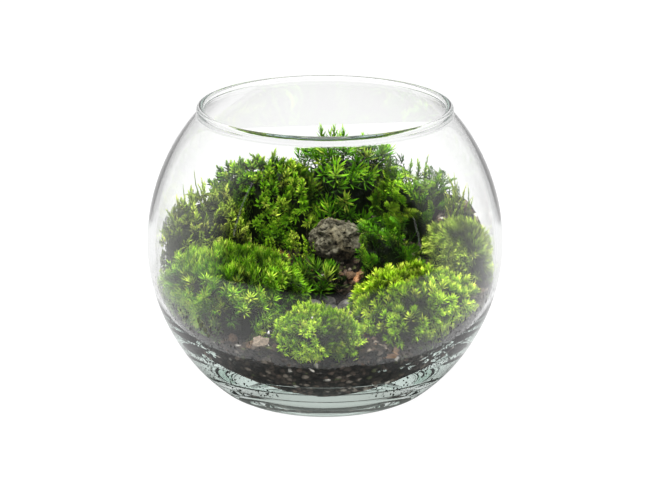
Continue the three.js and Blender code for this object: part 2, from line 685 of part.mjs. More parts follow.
/** A bank: a low spiky core under arched fronds, with a few upright stalks out of its top. */
function frondBank(name, seed, { fronds, length, width, pairs, lowest = 1.3, stalks = 0, options = {} }) {
  const random = seeded(seed);
  const cell = cellOf(name);
  const form = formOf(name, seed, options);
  const parts = [spikyCore(name, cell, form, random)];
  for (const { point, normal, tilt, phi } of placesOver(name, cell, form, fronds, lowest, random)) {
    const turn = phi + 1.6 * (random() - 0.5);
    const heading = new THREE.Vector3(Math.cos(turn), Math.sin(turn), 0);
    const root = point.clone().addScaledVector(normal, -1);
    const lift = 1.5 - 0.5 * tilt + 0.4 * random();
    const wanted = length * (0.8 + 0.4 * random());
    const share = frondRoom(root, heading, wanted, width, (p) => roomTowards(p, name, cell));
    if (share < 0.5) continue;
    parts.push(frond({ root, heading, lift, length: wanted * share, width: width * share, pairs }));
  }
  for (let i = 0; i < stalks; i++) {
    const a = (2 * Math.PI * (i + random() * 0.6)) / stalks;
    const root = corePoint(name, cell, form, 0.35 + 0.35 * random(), a);
    const rise = new THREE.Vector3(3 * Math.cos(a), 3 * Math.sin(a), 12 + 8 * random());
    const tip = keepInside(root.clone().add(rise), name, cell);
    const bow = new THREE.Vector3(1.5 * Math.cos(a + 2), 1.5 * Math.sin(a + 2), 0);
    parts.push(stalk(root.clone().addScaledVector(UP, -2), tip, bow, random));
  }
  return joinClump(parts);
}

/** A bank of star moss: leafy stars close over a core, the tall ones standing out of its crown. */
function starBank(name, seed, { stars, tall, leafLength, stem, lowest = 1.25, options = {} }) {
  const random = seeded(seed);
  const cell = cellOf(name);
  const form = formOf(name, seed, options);
  const keep = (p) => keepInside(p, name, cell);
  const shoots = placesOver(name, cell, form, stars, lowest, random).map(({ point, normal }, i) => {
    const isTall = i < tall;
    const rise = isTall ? stem * (0.75 + 0.5 * random()) : 2.5;
    const crown = keep(point.clone().addScaledVector(isTall ? UP : normal, rise));
    return starShoot(point.clone().addScaledVector(normal, -1.5), crown, isTall, leafLength, keep, random);
  });
  return joinClump([spikyCore(name, cell, form, random), ...shoots]);
}

// Materials

function finish(color, roughness) {
  return new THREE.MeshStandardMaterial({ color, roughness, metalness: 0 });
}

const GLASS = new THREE.MeshStandardMaterial({
  color: 0xe9f2f0,
  roughness: 0.04,
  metalness: 0,
  transparent: true,
  opacity: 0.3,
});
const GRAVEL = finish(0x6a5f52, 0.9);
const SOIL = finish(0x2b211a, 0.95);
const STONE = finish(0x7d766b, 0.9);
const PEBBLE = finish(0x3f3d38, 0.7);
const BARK = finish(0x6b3d22, 0.9);
const BRIGHT_MOSS = finish(0x7fae1e, 0.85);
const MID_MOSS = finish(0x4f8a1c, 0.85);
const DEEP_MOSS = finish(0x35701a, 0.85);
const OLIVE_MOSS = finish(0x76863a, 0.85);

const terrarium = new THREE.Group();

function addNode(name, solid, material) {
  terrarium.add(meshFrom(solid, name, material));
}

addNode("glass_bowl", makeBowl(), GLASS);
addNode("drainage_gravel", makeGravel(), GRAVEL);
addNode("soil", makeSoil(), SOIL);

/** Adds one clump of moss: grow is the growth form that makes it, and its seed sets its random draws. */
function addClump(name, grow, seed, material, options) {
  addNode(name, grow(name, seed, options), material);
}

addClump("cushion_moss_front_left", cushion, 11, MID_MOSS, { detail: 5, spike: 8.5 });
addClump("cushion_moss_front_right", cushion, 12, BRIGHT_MOSS, { detail: 5, spike: 8 });
addClump("cushion_moss_front_centre", cushion, 13, BRIGHT_MOSS, { detail: 4, spike: 7, inset: 3 });
addClump("fine_moss_dome_right", cushion, 14, OLIVE_MOSS, { detail: 4, spike: 6, inset: 3 });
addClump("mound_moss_back_left", cushion, 15, MID_MOSS, { detail: 5, spike: 8.5 });
addClump("star_moss_centre", starBank, 16, MID_MOSS, {
  stars: 4,
  tall: 4,
  leafLength: 9,
  stem: 5,
  options: { detail: 1, spike: 5, inset: 3, coreShare: 0.6 },
});
addClump("star_moss_bank_back", starBank, 17, DEEP_MOSS, {
  stars: 6,
  tall: 6,
  leafLength: 9,
  stem: 9,
  lowest: 0.9,
  options: { detail: 4, spike: 8, inset: 5 },
});
addClump("fern_moss_bank_left", frondBank, 18, OLIVE_MOSS, {
  fronds: 7,
  length: 16,
  width: 10,
  pairs: 5,
  lowest: 1,
  stalks: 3,
  options: { detail: 3, spike: 7, inset: 6, coreShare: 0.95 },
});
addClump("fern_moss_bank_right", frondBank, 19, MID_MOSS, {
  fronds: 11,
  length: 17,
  width: 10,
  pairs: 5,
  lowest: 1.1,
  options: { detail: 3, spike: 7, inset: 6 },
});
addClump("wispy_moss_right", frondBank, 20, OLIVE_MOSS, {
  fronds: 3,
  length: 11,
  width: 7,
  pairs: 4,
  stalks: 5,
  options: { detail: 1, spike: 6, inset: 3, coreShare: 0.8 },
});
addClump("feather_moss_centre_left", frondBank, 21, BRIGHT_MOSS, {
  fronds: 16,
  length: 15,
  width: 7,
  pairs: 5,
  options: { detail: 1, spike: 4, inset: 3, coreShare: 0.72 },
});
addClump("feather_moss_centre_right", frondBank, 22, MID_MOSS, {
  fronds: 12,
  length: 16,
  width: 9,
  pairs: 5,
  options: { detail: 1, spike: 4, inset: 3, coreShare: 0.72 },
});

/** A loose thing on the ground, cut to rest on it. */
function settled(solid) {
  return largestBody(solid.subtract(GROUND_CUTTER));
}

addNode("feature_stone", settled(rock(FEATURE_STONE)), STONE);
PEBBLES.forEach((pebble, i) => addNode(`pebble_${i + 1}`, settled(rock(pebble)), PEBBLE));
FLAKES.forEach((flake, i) => addNode(`bark_flake_${i + 1}`, settled(barkFlake(flake)), BARK));

export default terrarium;
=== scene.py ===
"""Dresses a glass bowl planted with moss: every piece's shape and finish, a pale floor, lights and a camera.

Shapes are worked out in millimetres as whole numpy arrays. They go into meshes in metres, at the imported
frame's places.
"""

import logging
import math
from collections.abc import Sequence
from dataclasses import dataclass, field
from enum import Enum

import bpy
import numpy as np
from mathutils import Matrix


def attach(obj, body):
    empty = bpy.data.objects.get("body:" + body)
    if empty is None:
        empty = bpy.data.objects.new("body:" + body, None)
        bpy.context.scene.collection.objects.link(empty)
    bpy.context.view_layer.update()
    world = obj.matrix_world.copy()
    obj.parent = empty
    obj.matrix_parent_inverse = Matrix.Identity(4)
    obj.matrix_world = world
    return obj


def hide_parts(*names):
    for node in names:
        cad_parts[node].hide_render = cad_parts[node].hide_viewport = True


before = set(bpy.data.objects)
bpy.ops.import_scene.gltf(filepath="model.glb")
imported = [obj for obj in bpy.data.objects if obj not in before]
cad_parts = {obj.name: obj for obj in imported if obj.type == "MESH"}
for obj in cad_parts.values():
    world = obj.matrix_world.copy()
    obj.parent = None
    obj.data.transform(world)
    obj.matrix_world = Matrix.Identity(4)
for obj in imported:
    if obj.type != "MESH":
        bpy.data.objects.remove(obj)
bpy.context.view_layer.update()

MM = 0.001
GOLDEN_ANGLE = math.pi * (3 - math.sqrt(5))
UP = np.array([0.0, 0.0, 1.0])

log = logging.getLogger("moss terrarium")

Array = np.ndarray
Draws = np.random.Generator
Pair = tuple[float, float]
Triple = tuple[float, float, float]
Material = bpy.types.Material
Socket = bpy.types.NodeSocket


class Slot(Enum):
    """The object's material slots, by the names that its record gives them."""

    GLASS = "clear_glass"
    GRAVEL = "gravel"
    SOIL = "soil"
    BRIGHT_MOSS = "bright_moss"
    MID_GREEN_MOSS = "mid_green_moss"
    DEEP_GREEN_MOSS = "deep_green_moss"
    OLIVE_MOSS = "olive_moss"
    ROUGH_STONE = "rough_stone"
    DARK_PEBBLE = "dark_pebble"
    BARK = "bark"


# Numbers and noise


def smoothstep(t: Array) -> Array:
    """Eases a share from 0 to 1: 3t^2 - 2t^3, held at its ends.

    Args:
        t: Shares, of any size.

    Returns:
        The eased shares.
    """
    u = np.clip(t, 0.0, 1.0)
    return u * u * (3 - 2 * u)


def unit(vectors: Array) -> Array:
    """Vectors at length one.

    Args:
        vectors: An array whose last axis is x, y, z.

    Returns:
        The same directions, each divided by its length.
    """
    return vectors / np.maximum(np.linalg.norm(vectors, axis=-1, keepdims=True), 1e-9)


def even_draws(seed: int, count: int) -> list[float]:
    """The stream of numbers from 0 to 1 that shapes the stones, the same as in their solids.

    Args:
        seed: The stream's seed.
        count: How many numbers.

    Returns:
        The numbers, by a 32-bit add, multiply and shift for each.
    """
    mask = 0xFFFFFFFF
    state = seed & mask
    draws = []
    for _ in range(count):
        state = (state + 0x6D2B79F5) & mask
        t = ((state ^ (state >> 15)) * (1 | state)) & mask
        t = ((t + (((t ^ (t >> 7)) * (61 | t)) & mask)) & mask) ^ t
        draws.append(((t ^ (t >> 14)) & mask) / 4294967296)
    return draws


def lattice_noise(points: Array, seed: int) -> Array:
    """Smooth noise from -1 to 1: hashed values on a unit lattice, blended by smoothstep inside each cell.

    Args:
        points: Places, n by 3, in cells.
        seed: Which noise.

    Returns:
        One value for each place.
    """
    cell = np.floor(points).astype(np.int64)
    share = points - cell
    share = share * share * (3 - 2 * share)
    total = np.zeros(len(points))
    for corner in np.ndindex(2, 2, 2):
        at = cell + np.array(corner)
        h = (at @ np.array([374761393, 668265263, 1440662683]) + seed * 144665) & 0xFFFFFFFF
        h = ((h ^ (h >> 13)) * 1274126177) & 0xFFFFFFFF
        value = ((h ^ (h >> 16)) & 0xFFFF) / 32767.5 - 1
        weight = np.prod(np.where(np.array(corner) == 1, share, 1 - share), axis=1)
        total += weight * value
    return total


def rough(points: Array, scale: float, octaves: int, seed: int) -> Array:
    """Noise with finer noise on it: each octave is twice as fine and half as high as the last.

    Args:
        points: Places, n by 3, in millimetres.
        scale: Size of the coarsest bumps, in millimetres.
        octaves: How many layers.
        seed: Which noise.

    Returns:
        Values mostly from -1 to 1.
    """
    total = np.zeros(len(points))
    for i in range(octaves):
        total += lattice_noise(points * 2**i / scale, seed + i) / 2**i
    return total


# Surfaces


@dataclass
class Surface:
    """Points and triangles, with two values at each point that a finish reads."""

    points: Array
    faces: Array
    along: Array
    tone: Array

    def outward(self) -> "Surface":
        """Turns the faces round if the space they close in comes out negative, so that they point out.

        Returns:
            The same surface.
        """
        a, b, c = (self.points[self.faces[:, i]] for i in range(3))
        if np.einsum("ij,ij->i", a, np.cross(b, c)).sum() < 0:
            self.faces = self.faces[:, ::-1]
        return self


def joined(parts: list[Surface]) -> Surface:
    """Several surfaces as one.

    Args:
        parts: The surfaces.

    Returns:
        One surface, whose faces count their points from the right start.
    """
    starts = np.cumsum([0] + [len(p.points) for p in parts[:-1]])
    return Surface(
        np.concatenate([p.points for p in parts]),
        np.concatenate([p.faces + start for p, start in zip(parts, starts)]),
        np.concatenate([p.along for p in parts]),
        np.concatenate([p.tone for p in parts]),
    )


def grid_faces(rows: int, columns: int) -> Array:
    """Triangles of a grid of points whose columns close into a ring.

    Args:
        rows: Points along the first way.
        columns: Points round the ring.

    Returns:
        Two triangles for each cell.
    """
    row, column = np.meshgrid(np.arange(rows - 1), np.arange(columns), indexing="ij")
    a = row * columns + column
    b = row * columns + (column + 1) % columns
    first = np.stack([a, b, b + columns], -1).reshape(-1, 3)
    second = np.stack([a, b + columns, a + columns], -1).reshape(-1, 3)
    return np.concatenate([first, second])


def repeated(shape: Array | list[tuple[int, int, int]], size: int, count: int) -> Array:
    """Triangles of many like shapes, from those of one and how many points it has."""
    return (np.array(shape)[None] + (size * np.arange(count))[:, None, None]).reshape(-1, 3)


def spindles(rings: int, count: int) -> Array:
    """Triangles of many slim shapes, each of three-sided rings between two end points.

    Args:
        rings: How many rings each has.
        count: How many shapes.

    Returns:
        The triangles, for points that run from a shape's first end to its last.
    """
    end = 3 * rings + 1
    sides = [(1, 2), (2, 3), (3, 1)]
    shape = [(0, b, a) for a, b in sides] + [(end, a + end - 4, b + end - 4) for a, b in sides]
    for j in range(0, end - 4, 3):
        shape += [(a + j, b + j, b + j + 3) for a, b in sides]
        shape += [(a + j, b + j + 3, a + j + 3) for a, b in sides]
    return repeated(shape, end + 1, count)


def closed_rings(rings: Array, first: Array, last: Array) -> Surface:
    """A closed surface from rings of points and a point at either end.

    Args:
        rings: Rows by columns by 3.
        first: The point that closes the first ring.
        last: The point that closes the last ring.

    Returns:
        The surface, with along running from 0 at the first end to 1 at the last.
    """
    rows, columns = rings.shape[:2]
    points = np.concatenate([rings.reshape(-1, 3), first[None], last[None]])
    k = np.arange(columns)
    turn = (k + 1) % columns
    foot = np.stack([turn, k, np.full(columns, rows * columns)], -1)
    top = (rows - 1) * columns
    cap = np.stack([top + k, top + turn, np.full(columns, rows * columns + 1)], -1)
    faces = np.concatenate([grid_faces(rows, columns), foot, cap])
    along = np.concatenate([np.repeat(np.linspace(0, 1, rows), columns), [0.0, 1.0]])
    return Surface(points, faces, along, np.zeros(len(points))).outward()


def turns(count: int) -> Array:
    """Directions, evenly spaced round the circle."""
    return np.linspace(0, 2 * np.pi, count, endpoint=False)


def around(radius: Array, phi: Array, z: Array) -> Array:
    """Points at a radius, a direction and a height: x = r cos phi, y = r sin phi."""
    return np.stack([radius * np.cos(phi), radius * np.sin(phi), z + 0 * phi], -1)


def on_axis(z: float) -> Array:
    """The point of the upright axis at a height."""
    return np.array([0.0, 0.0, z])


def revolved(profile: Array, columns: int) -> Surface:
    """A profile turned about the upright axis.

    Args:
        profile: Radius and height of each point; the first and the last lie on the axis.
        columns: Points round each ring.

    Returns:
        The closed surface.
    """
    phi = turns(columns)
    radius, height = profile[1:-1, :1], profile[1:-1, 1:]
    return closed_rings(around(radius, phi, height), on_axis(profile[0, 1]), on_axis(profile[-1, 1]))


def curve(start: Array, bend: Array, end: Array, s: Array) -> Array:
    """Points of a curve at shares s of its way: (1-s)^2 start + 2s(1-s) bend + s^2 end."""
    return (1 - s) ** 2 * start + 2 * s * (1 - s) * bend + s * s * end


def rounded(
    profile: Array, reach: float = 1.2, least_turn: float = 0.3, steps: int = 5, most: float = 0.45
) -> Array:
    """Softens the sharp corners of a profile: each becomes a curve that bends towards the corner.

    Args:
        profile: Radius and height of each point.
        reach: How far before and after a corner its curve runs.
        least_turn: The smallest turn that is softened, in radians.
        steps: Points on each curve.
        most: The largest share of a side that a curve takes up.

    Returns:
        The profile with its first and last points as they were.
    """
    points = [profile[0]]
    for before, corner, after in zip(profile[:-2], profile[1:-1], profile[2:]):
        ahead, back = after - corner, before - corner
        far, near = np.hypot(*ahead), np.hypot(*back)
        turn = math.pi - math.acos(np.clip(ahead @ back / (far * near), -1, 1))
        if turn < least_turn:
            points.append(corner)
            continue
        start = corner + back * min(most, reach / near)
        end = corner + ahead * min(most, reach / far)
        points += list(curve(start, corner, end, np.linspace(0, 1, steps)[:, None]))
    return np.array([*points, profile[-1]])


def unit_ball(level: int) -> tuple[Array, Array]:
    """A ball of even triangles: an icosahedron whose faces are each cut in four, level times over.

    Args:
        level: How many times the faces are cut.

    Returns:
        The points, at length one, and the triangles.
    """
    g = (1 + math.sqrt(5)) / 2
    corners = [(-1, g, 0), (1, g, 0), (-1, -g, 0), (1, -g, 0), (0, -1, g), (0, 1, g), (0, -1, -g), (0, 1, -g)]
    corners += [(g, 0, -1), (g, 0, 1), (-g, 0, -1), (-g, 0, 1)]
    points = unit(np.array(corners, float))
    distance = np.linalg.norm(points[:, None] - points[None], axis=2)
    # Corners that share an edge are 1.05 apart, and the next ones 1.7.
    near = (distance > 0.1) & (distance < 1.1)
    trios = [(a, b, c) for a in range(12) for b in range(a, 12) for c in range(b, 12)]
    faces = np.array([(a, b, c) for a, b, c in trios if near[a, b] and near[b, c] and near[a, c]])
    flip = np.einsum("ij,ij->i", points[faces[:, 0]], np.cross(points[faces[:, 1]], points[faces[:, 2]])) < 0
    faces[flip] = faces[flip][:, ::-1]
    for _ in range(level):
        edges = np.sort(np.concatenate([faces[:, [0, 1]], faces[:, [1, 2]], faces[:, [2, 0]]]), axis=1)
        lines, where = np.unique(edges, axis=0, return_inverse=True)
        ab, bc, ca = np.split(where.ravel() + len(points), 3)
        points = np.concatenate([points, unit(points[lines[:, 0]] + points[lines[:, 1]])])
        a, b, c = faces.T
        cut = [(a, ab, ca), (ab, b, bc), (ca, bc, c), (ab, bc, ca)]
        faces = np.concatenate([np.stack(f, -1) for f in cut])
    return points, faces


def in_scene(name: str, data: bpy.types.ID) -> bpy.types.Object:
    """Makes an object of a mesh, a lamp or a camera and puts it into the scene.

    Args:
        name: The name of the object.
        data: What the object shows.

    Returns:
        The object.
    """
    made = bpy.data.objects.new(name, data)
    bpy.context.scene.collection.objects.link(made)
    return made


def add_piece(
    name: str,
    surface: Surface,
    material: Material,
    replaces: tuple[str, ...] = (),
    smooth: bool = False,
) -> None:
    """Makes a surface a piece of the object, at the place that its points give.

    Args:
        name: The piece's name.
        surface: Its points and faces, in millimetres.
        material: Its finish.
        replaces: The solids that it stands for.
        smooth: Whether its faces are shaded smooth.
    """
    mesh = bpy.data.meshes.new(name)
    count = len(surface.faces)
    mesh.vertices.add(len(surface.points))
    mesh.vertices.foreach_set("co", (surface.points * MM).astype(np.float32).ravel())
    mesh.loops.add(3 * count)
    mesh.loops.foreach_set("vertex_index", surface.faces.astype(np.int32).ravel())
    mesh.polygons.add(count)
    mesh.polygons.foreach_set("loop_start", np.arange(0, 3 * count, 3, dtype=np.int32))
    mesh.polygons.foreach_set("use_smooth", np.full(count, smooth))
    for key, values in (("along", surface.along), ("tone", surface.tone)):
        mesh.attributes.new(key, "FLOAT", "POINT").data.foreach_set("value", values.astype(np.float32))
    mesh.update(calc_edges=True)
    mesh.validate()
    mesh.materials.append(material)
    piece = in_scene(name, mesh)
    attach(piece, "root")
    if replaces:
        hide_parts(*replaces)
    log.info("%s: %d triangles", name, count)


# Finishes

Colour = Triple
Stop = tuple[float, Colour]

WHITE: Colour = (1.0, 1.0, 1.0)


class NodeTree:
    """The nodes of a material or of the world, with short calls that add a node and join it up."""

    def __init__(self, name: str, world: bool = False) -> None:
        """Starts an empty tree.

        Args:
            name: The name of what it belongs to.
            world: Whether that is the world, not a material.
        """
        self.owner = bpy.data.worlds.new(name) if world else bpy.data.materials.new(name)
        self.owner.use_nodes = True
        self.tree = self.owner.node_tree
        self.tree.nodes.clear()

    def node(
        self, kind: str, inputs: dict[str | int, object] | None = None, **settings: object
    ) -> bpy.types.Node:
        """Adds a node.

        Args:
            kind: The node's Blender type.
            inputs: A value or another node's socket for each named input.
            **settings: Values of the node's own properties.

        Returns:
            The node.
        """
        made = self.tree.nodes.new(kind)
        for key, value in settings.items():
            setattr(made, key, value)
        for key, value in (inputs or {}).items():
            if isinstance(value, Socket):
                self.tree.links.new(value, made.inputs[key])
            else:
                made.inputs[key].default_value = value
        return made

    @property
    def place(self) -> Socket:
        """The piece's own coordinates, in metres."""
        return self.node("ShaderNodeTexCoord").outputs["Object"]

    def ray(self, fact: str) -> Socket:
        """A fact about the ray that meets the surface, by its name."""
        return self.node("ShaderNodeLightPath").outputs[fact]

    def attribute(self, name: str) -> Socket:
        """The value of a mesh attribute, by its name."""
        return self.node("ShaderNodeAttribute", attribute_name=name).outputs["Fac"]

    def math(self, operation: str, a: object, b: object) -> Socket:
        """Two values added, multiplied or compared, as the operation's name says."""
        return self.node("ShaderNodeMath", {0: a, 1: b}, operation=operation).outputs[0]

    def vector(self, operation: str, inputs: dict[str | int, object], output: str = "Vector") -> Socket:
        """The result of a sum on vectors, or, at the output Value, its length."""
        return self.node("ShaderNodeVectorMath", inputs, operation=operation).outputs[output]

    def bounced(self, how: str, times: float = 0.5) -> Socket:
        """One where the ray was mirrored, let through or scattered more often than that, and else nought."""
        return self.math("GREATER_THAN", self.ray(f"{how} Depth"), times)

    def mapped(self, value: Socket, low: float, high: float, start: float, end: float) -> Socket:
        """A value carried from the range low to high into the range start to end, and held there."""
        return self.node("ShaderNodeMapRange", {0: value, 1: low, 2: high, 3: start, 4: end}).outputs[0]

    def blended(self, share: object, first: Socket, second: Socket) -> Socket:
        """Two shaders mixed, by the share of the second."""
        return self.node("ShaderNodeMixShader", {0: share, 1: first, 2: second}).outputs[0]

    def ramp(self, fac: Socket, stops: Sequence[Stop], steps: bool = False) -> Socket:
        """A colour ramp.

        Args:
            fac: What it reads.
            stops: A place and a colour for each stop.
            steps: Whether the colours change in steps.

        Returns:
            Its colour socket.
        """
        made = self.node("ShaderNodeValToRGB", {"Fac": fac})
        made.color_ramp.interpolation = "CONSTANT" if steps else "LINEAR"
        elements = made.color_ramp.elements
        while len(elements) < len(stops):
            elements.new(0.5)
        for element, (place, colour) in zip(elements, stops):
            element.position = place
            element.color = (*colour, 1)
        return made.outputs["Color"]

    def mixed(self, fac: object, a: Socket, b: Socket | Colour, blend: str = "MIX") -> Socket:
        """Two colours mixed.

        Args:
            fac: The share of the second.
            a: The first colour's socket.
            b: The second colour or its socket.
            blend: How they mix.

        Returns:
            The colour socket.
        """
        inputs = {0: fac, 6: a, 7: (*b, 1) if isinstance(b, tuple) else b}
        return self.node("ShaderNodeMix", inputs, data_type="RGBA", blend_type=blend).outputs[2]

    def shaded(self, colour: Socket, shade: Socket) -> Socket:
        """A colour times a value."""
        grey = self.node("ShaderNodeCombineXYZ", {0: shade, 1: shade, 2: shade}).outputs[0]
        return self.mixed(1.0, colour, grey, "MULTIPLY")

    def noise(self, scale: float, detail: float = 4.0, roughness: float = 0.6) -> Socket:
        """Noise on the piece's own coordinates.

        Args:
            scale: Bumps to a metre.
            detail: How many finer layers.
            roughness: How strong they are.

        Returns:
            The noise's value socket.
        """
        settings = {"Vector": self.place, "Scale": scale, "Detail": detail, "Roughness": roughness}
        return self.node("ShaderNodeTexNoise", settings).outputs["Fac"]

    def finished(self, shader: Socket, volume: Socket | None = None) -> Material:
        """Joins a shader to the output.

        Args:
            shader: The surface shader's socket.
            volume: The volume shader's socket, if it has one.

        Returns:
            The material.
        """
        output = self.node("ShaderNodeOutputMaterial", {"Surface": shader})
        if volume is not None:
            self.tree.links.new(volume, output.inputs["Volume"])
        return self.owner

    def matt(
        self, colour: Socket, roughness: float, height: Socket, strength: float, depth: float
    ) -> Material:
        """Finishes the tree as a dull surface with small bumps.

        Args:
            colour: Its colour.
            roughness: Its roughness.
            height: What its bumps follow.
            strength: How strongly they show.
            depth: How deep they are, in metres.

        Returns:
            The material.
        """
        bump = self.node("ShaderNodeBump", {"Height": height, "Strength": strength, "Distance": depth})
        inputs = {"Base Color": colour, "Roughness": roughness, "Normal": bump.outputs[0]}
        return self.finished(self.node("ShaderNodeBsdfPrincipled", inputs).outputs[0])


@dataclass(frozen=True)
class ClearGlass:
    """Clear glass, faintly green where it is thick. Light from lamps passes straight through it."""

    name: str = "clear_glass"
    ior: float = 1.5
    tint: Colour = (0.72, 0.9, 0.82)
    density: float = 5.0

    def material(self) -> Material:
        """Makes the material.

        Returns:
            The material.
        """
        tree = NodeTree(self.name)
        glass = tree.node(
            "ShaderNodeBsdfPrincipled",
            {"Base Color": (1, 1, 1, 1), "Roughness": 0.0, "IOR": self.ior, "Transmission Weight": 1.0},
        )
        clear = tree.node("ShaderNodeBsdfTransparent", {"Color": (1, 1, 1, 1)})
        passes = tree.math("MAXIMUM", tree.ray("Is Shadow Ray"), tree.ray("Is Diffuse Ray"))
        haze = tree.node("ShaderNodeVolumeAbsorption", {"Color": (*self.tint, 1), "Density": self.density})
        return tree.finished(tree.blended(passes, glass.outputs[0], clear.outputs[0]), haze.outputs[0])


@dataclass(frozen=True)
class MossLeaf:
    """Thin moist leaves: dark at the foot, brighter to the tip, in part painted shade, each a little
    different.

    Some, picked by patches and by their own tone, are aged, and a share of the light comes through them all.
    """

    name: str
    dark: Colour
    middle: Colour
    tip: Colour
    aged: Colour
    glow: float = 0.3
    roughness: float = 0.36
    sheen: float = 0.4

    def material(self) -> Material:
        """Makes the material.

        Returns:
            The material.
        """
        tree = NodeTree(self.name)
        along = tree.attribute("along")
        tone = tree.attribute("tone")
        # The along value carries painted shade: leaves low on a stem and in dim patches are painted darker.
        green = tree.ramp(along, [(0.12, self.dark), (0.55, self.middle), (0.97, self.tip)])
        old = tree.ramp(along, [(0.12, self.dark), (0.6, self.aged), (1.0, self.aged)])
        patch = tree.mapped(tree.noise(90.0, 3.0), 0.52, 0.7, 0.0, 0.55)
        few = tree.mapped(tone, 0.8, 0.97, 0.0, 0.8)
        colour = tree.mixed(tree.math("MAXIMUM", patch, few), green, old)
        shade = tree.mapped(tone, 0.0, 1.0, 0.65, 1.3)
        colour = tree.shaded(colour, shade)
        leaf = tree.node(
            "ShaderNodeBsdfPrincipled",
            {"Base Color": colour, "Roughness": self.roughness, "Specular IOR Level": self.sheen},
        )
        through = tree.node("ShaderNodeBsdfTranslucent", {"Color": colour})
        return tree.finished(tree.blended(self.glow, leaf.outputs[0], through.outputs[0]))


@dataclass(frozen=True)
class Grit:
    """Moist crumbly ground: cells of several colours with painted shade between them, and grains of one
    colour each.
    """

    name: str
    stops: tuple[Stop, ...]
    cells: float = 400.0
    bend: float = 0.0022
    roughness: float = 0.8

    def material(self) -> Material:
        """Makes the material: a point with tone below zero is ground, any other is a loose grain's.

        Returns:
            The material.
        """
        tree = NodeTree(self.name)
        place = tree.place
        fine = tree.noise(1500.0, 5.0, 0.7)
        noise = tree.node("ShaderNodeTexNoise", {"Vector": place, "Scale": 300.0, "Detail": 2.0})
        shift = {0: noise.outputs["Color"], "Scale": self.bend}
        bent = tree.vector("ADD", {0: place, 1: tree.vector("SCALE", shift)})
        cell = tree.node("ShaderNodeTexVoronoi", {"Vector": bent, "Scale": self.cells})
        own = tree.node("ShaderNodeSeparateColor", {"Color": cell.outputs["Color"]}).outputs[0]
        tone = tree.attribute("tone")
        loose = tree.math("GREATER_THAN", tone, -0.5)
        pick = tree.node("ShaderNodeMix", {0: loose, 2: own, 3: tone}, data_type="FLOAT").outputs[0]
        base = tree.ramp(pick, self.stops, steps=True)
        # Painted shade: the ground is darkened towards the cells' edges, where crevices would be.
        edge = tree.math("MAXIMUM", tree.mapped(cell.outputs["Distance"], 0.3, 0.8, 1.0, 0.12), loose)
        shade = tree.math("MULTIPLY", edge, tree.mapped(fine, 0.3, 0.65, 0.45, 1.4))
        return tree.matt(tree.shaded(base, shade), self.roughness, shade, 0.7, 0.0008)


@dataclass(frozen=True)
class WeatheredStone:
    """Rough stone or bark: pale on its high grains and dark in its pits, as painted light and shade, with
    warm stains.
    """

    name: str
    dark: Colour
    middle: Colour
    pale: Colour
    stain: Colour
    scale: float = 420.0
    roughness: float = 0.88

    def material(self) -> Material:
        """Makes the material.

        Returns:
            The material.
        """
        tree = NodeTree(self.name)
        relief = tree.attribute("along")
        fine = tree.noise(self.scale, 8.0, 0.72)
        # Painted light and shade: the colour follows the relief, paler where it is high and darker in its
        # pits, mixed with the grain's noise.
        mixed = tree.math("ADD", tree.math("MULTIPLY", relief, 0.65), tree.math("MULTIPLY", fine, 1.35))
        level = tree.math("MULTIPLY", mixed, 0.5)
        body = tree.ramp(level, [(0.33, self.dark), (0.44, self.middle), (0.64, self.pale)])
        stain = tree.mapped(tree.noise(110.0, 3.0), 0.5, 0.68, 0.0, 0.6)
        colour = tree.mixed(stain, body, self.stain, "MULTIPLY")
        return tree.matt(colour, self.roughness, fine, 0.8, 0.0006)


# The bowl and the ground in it


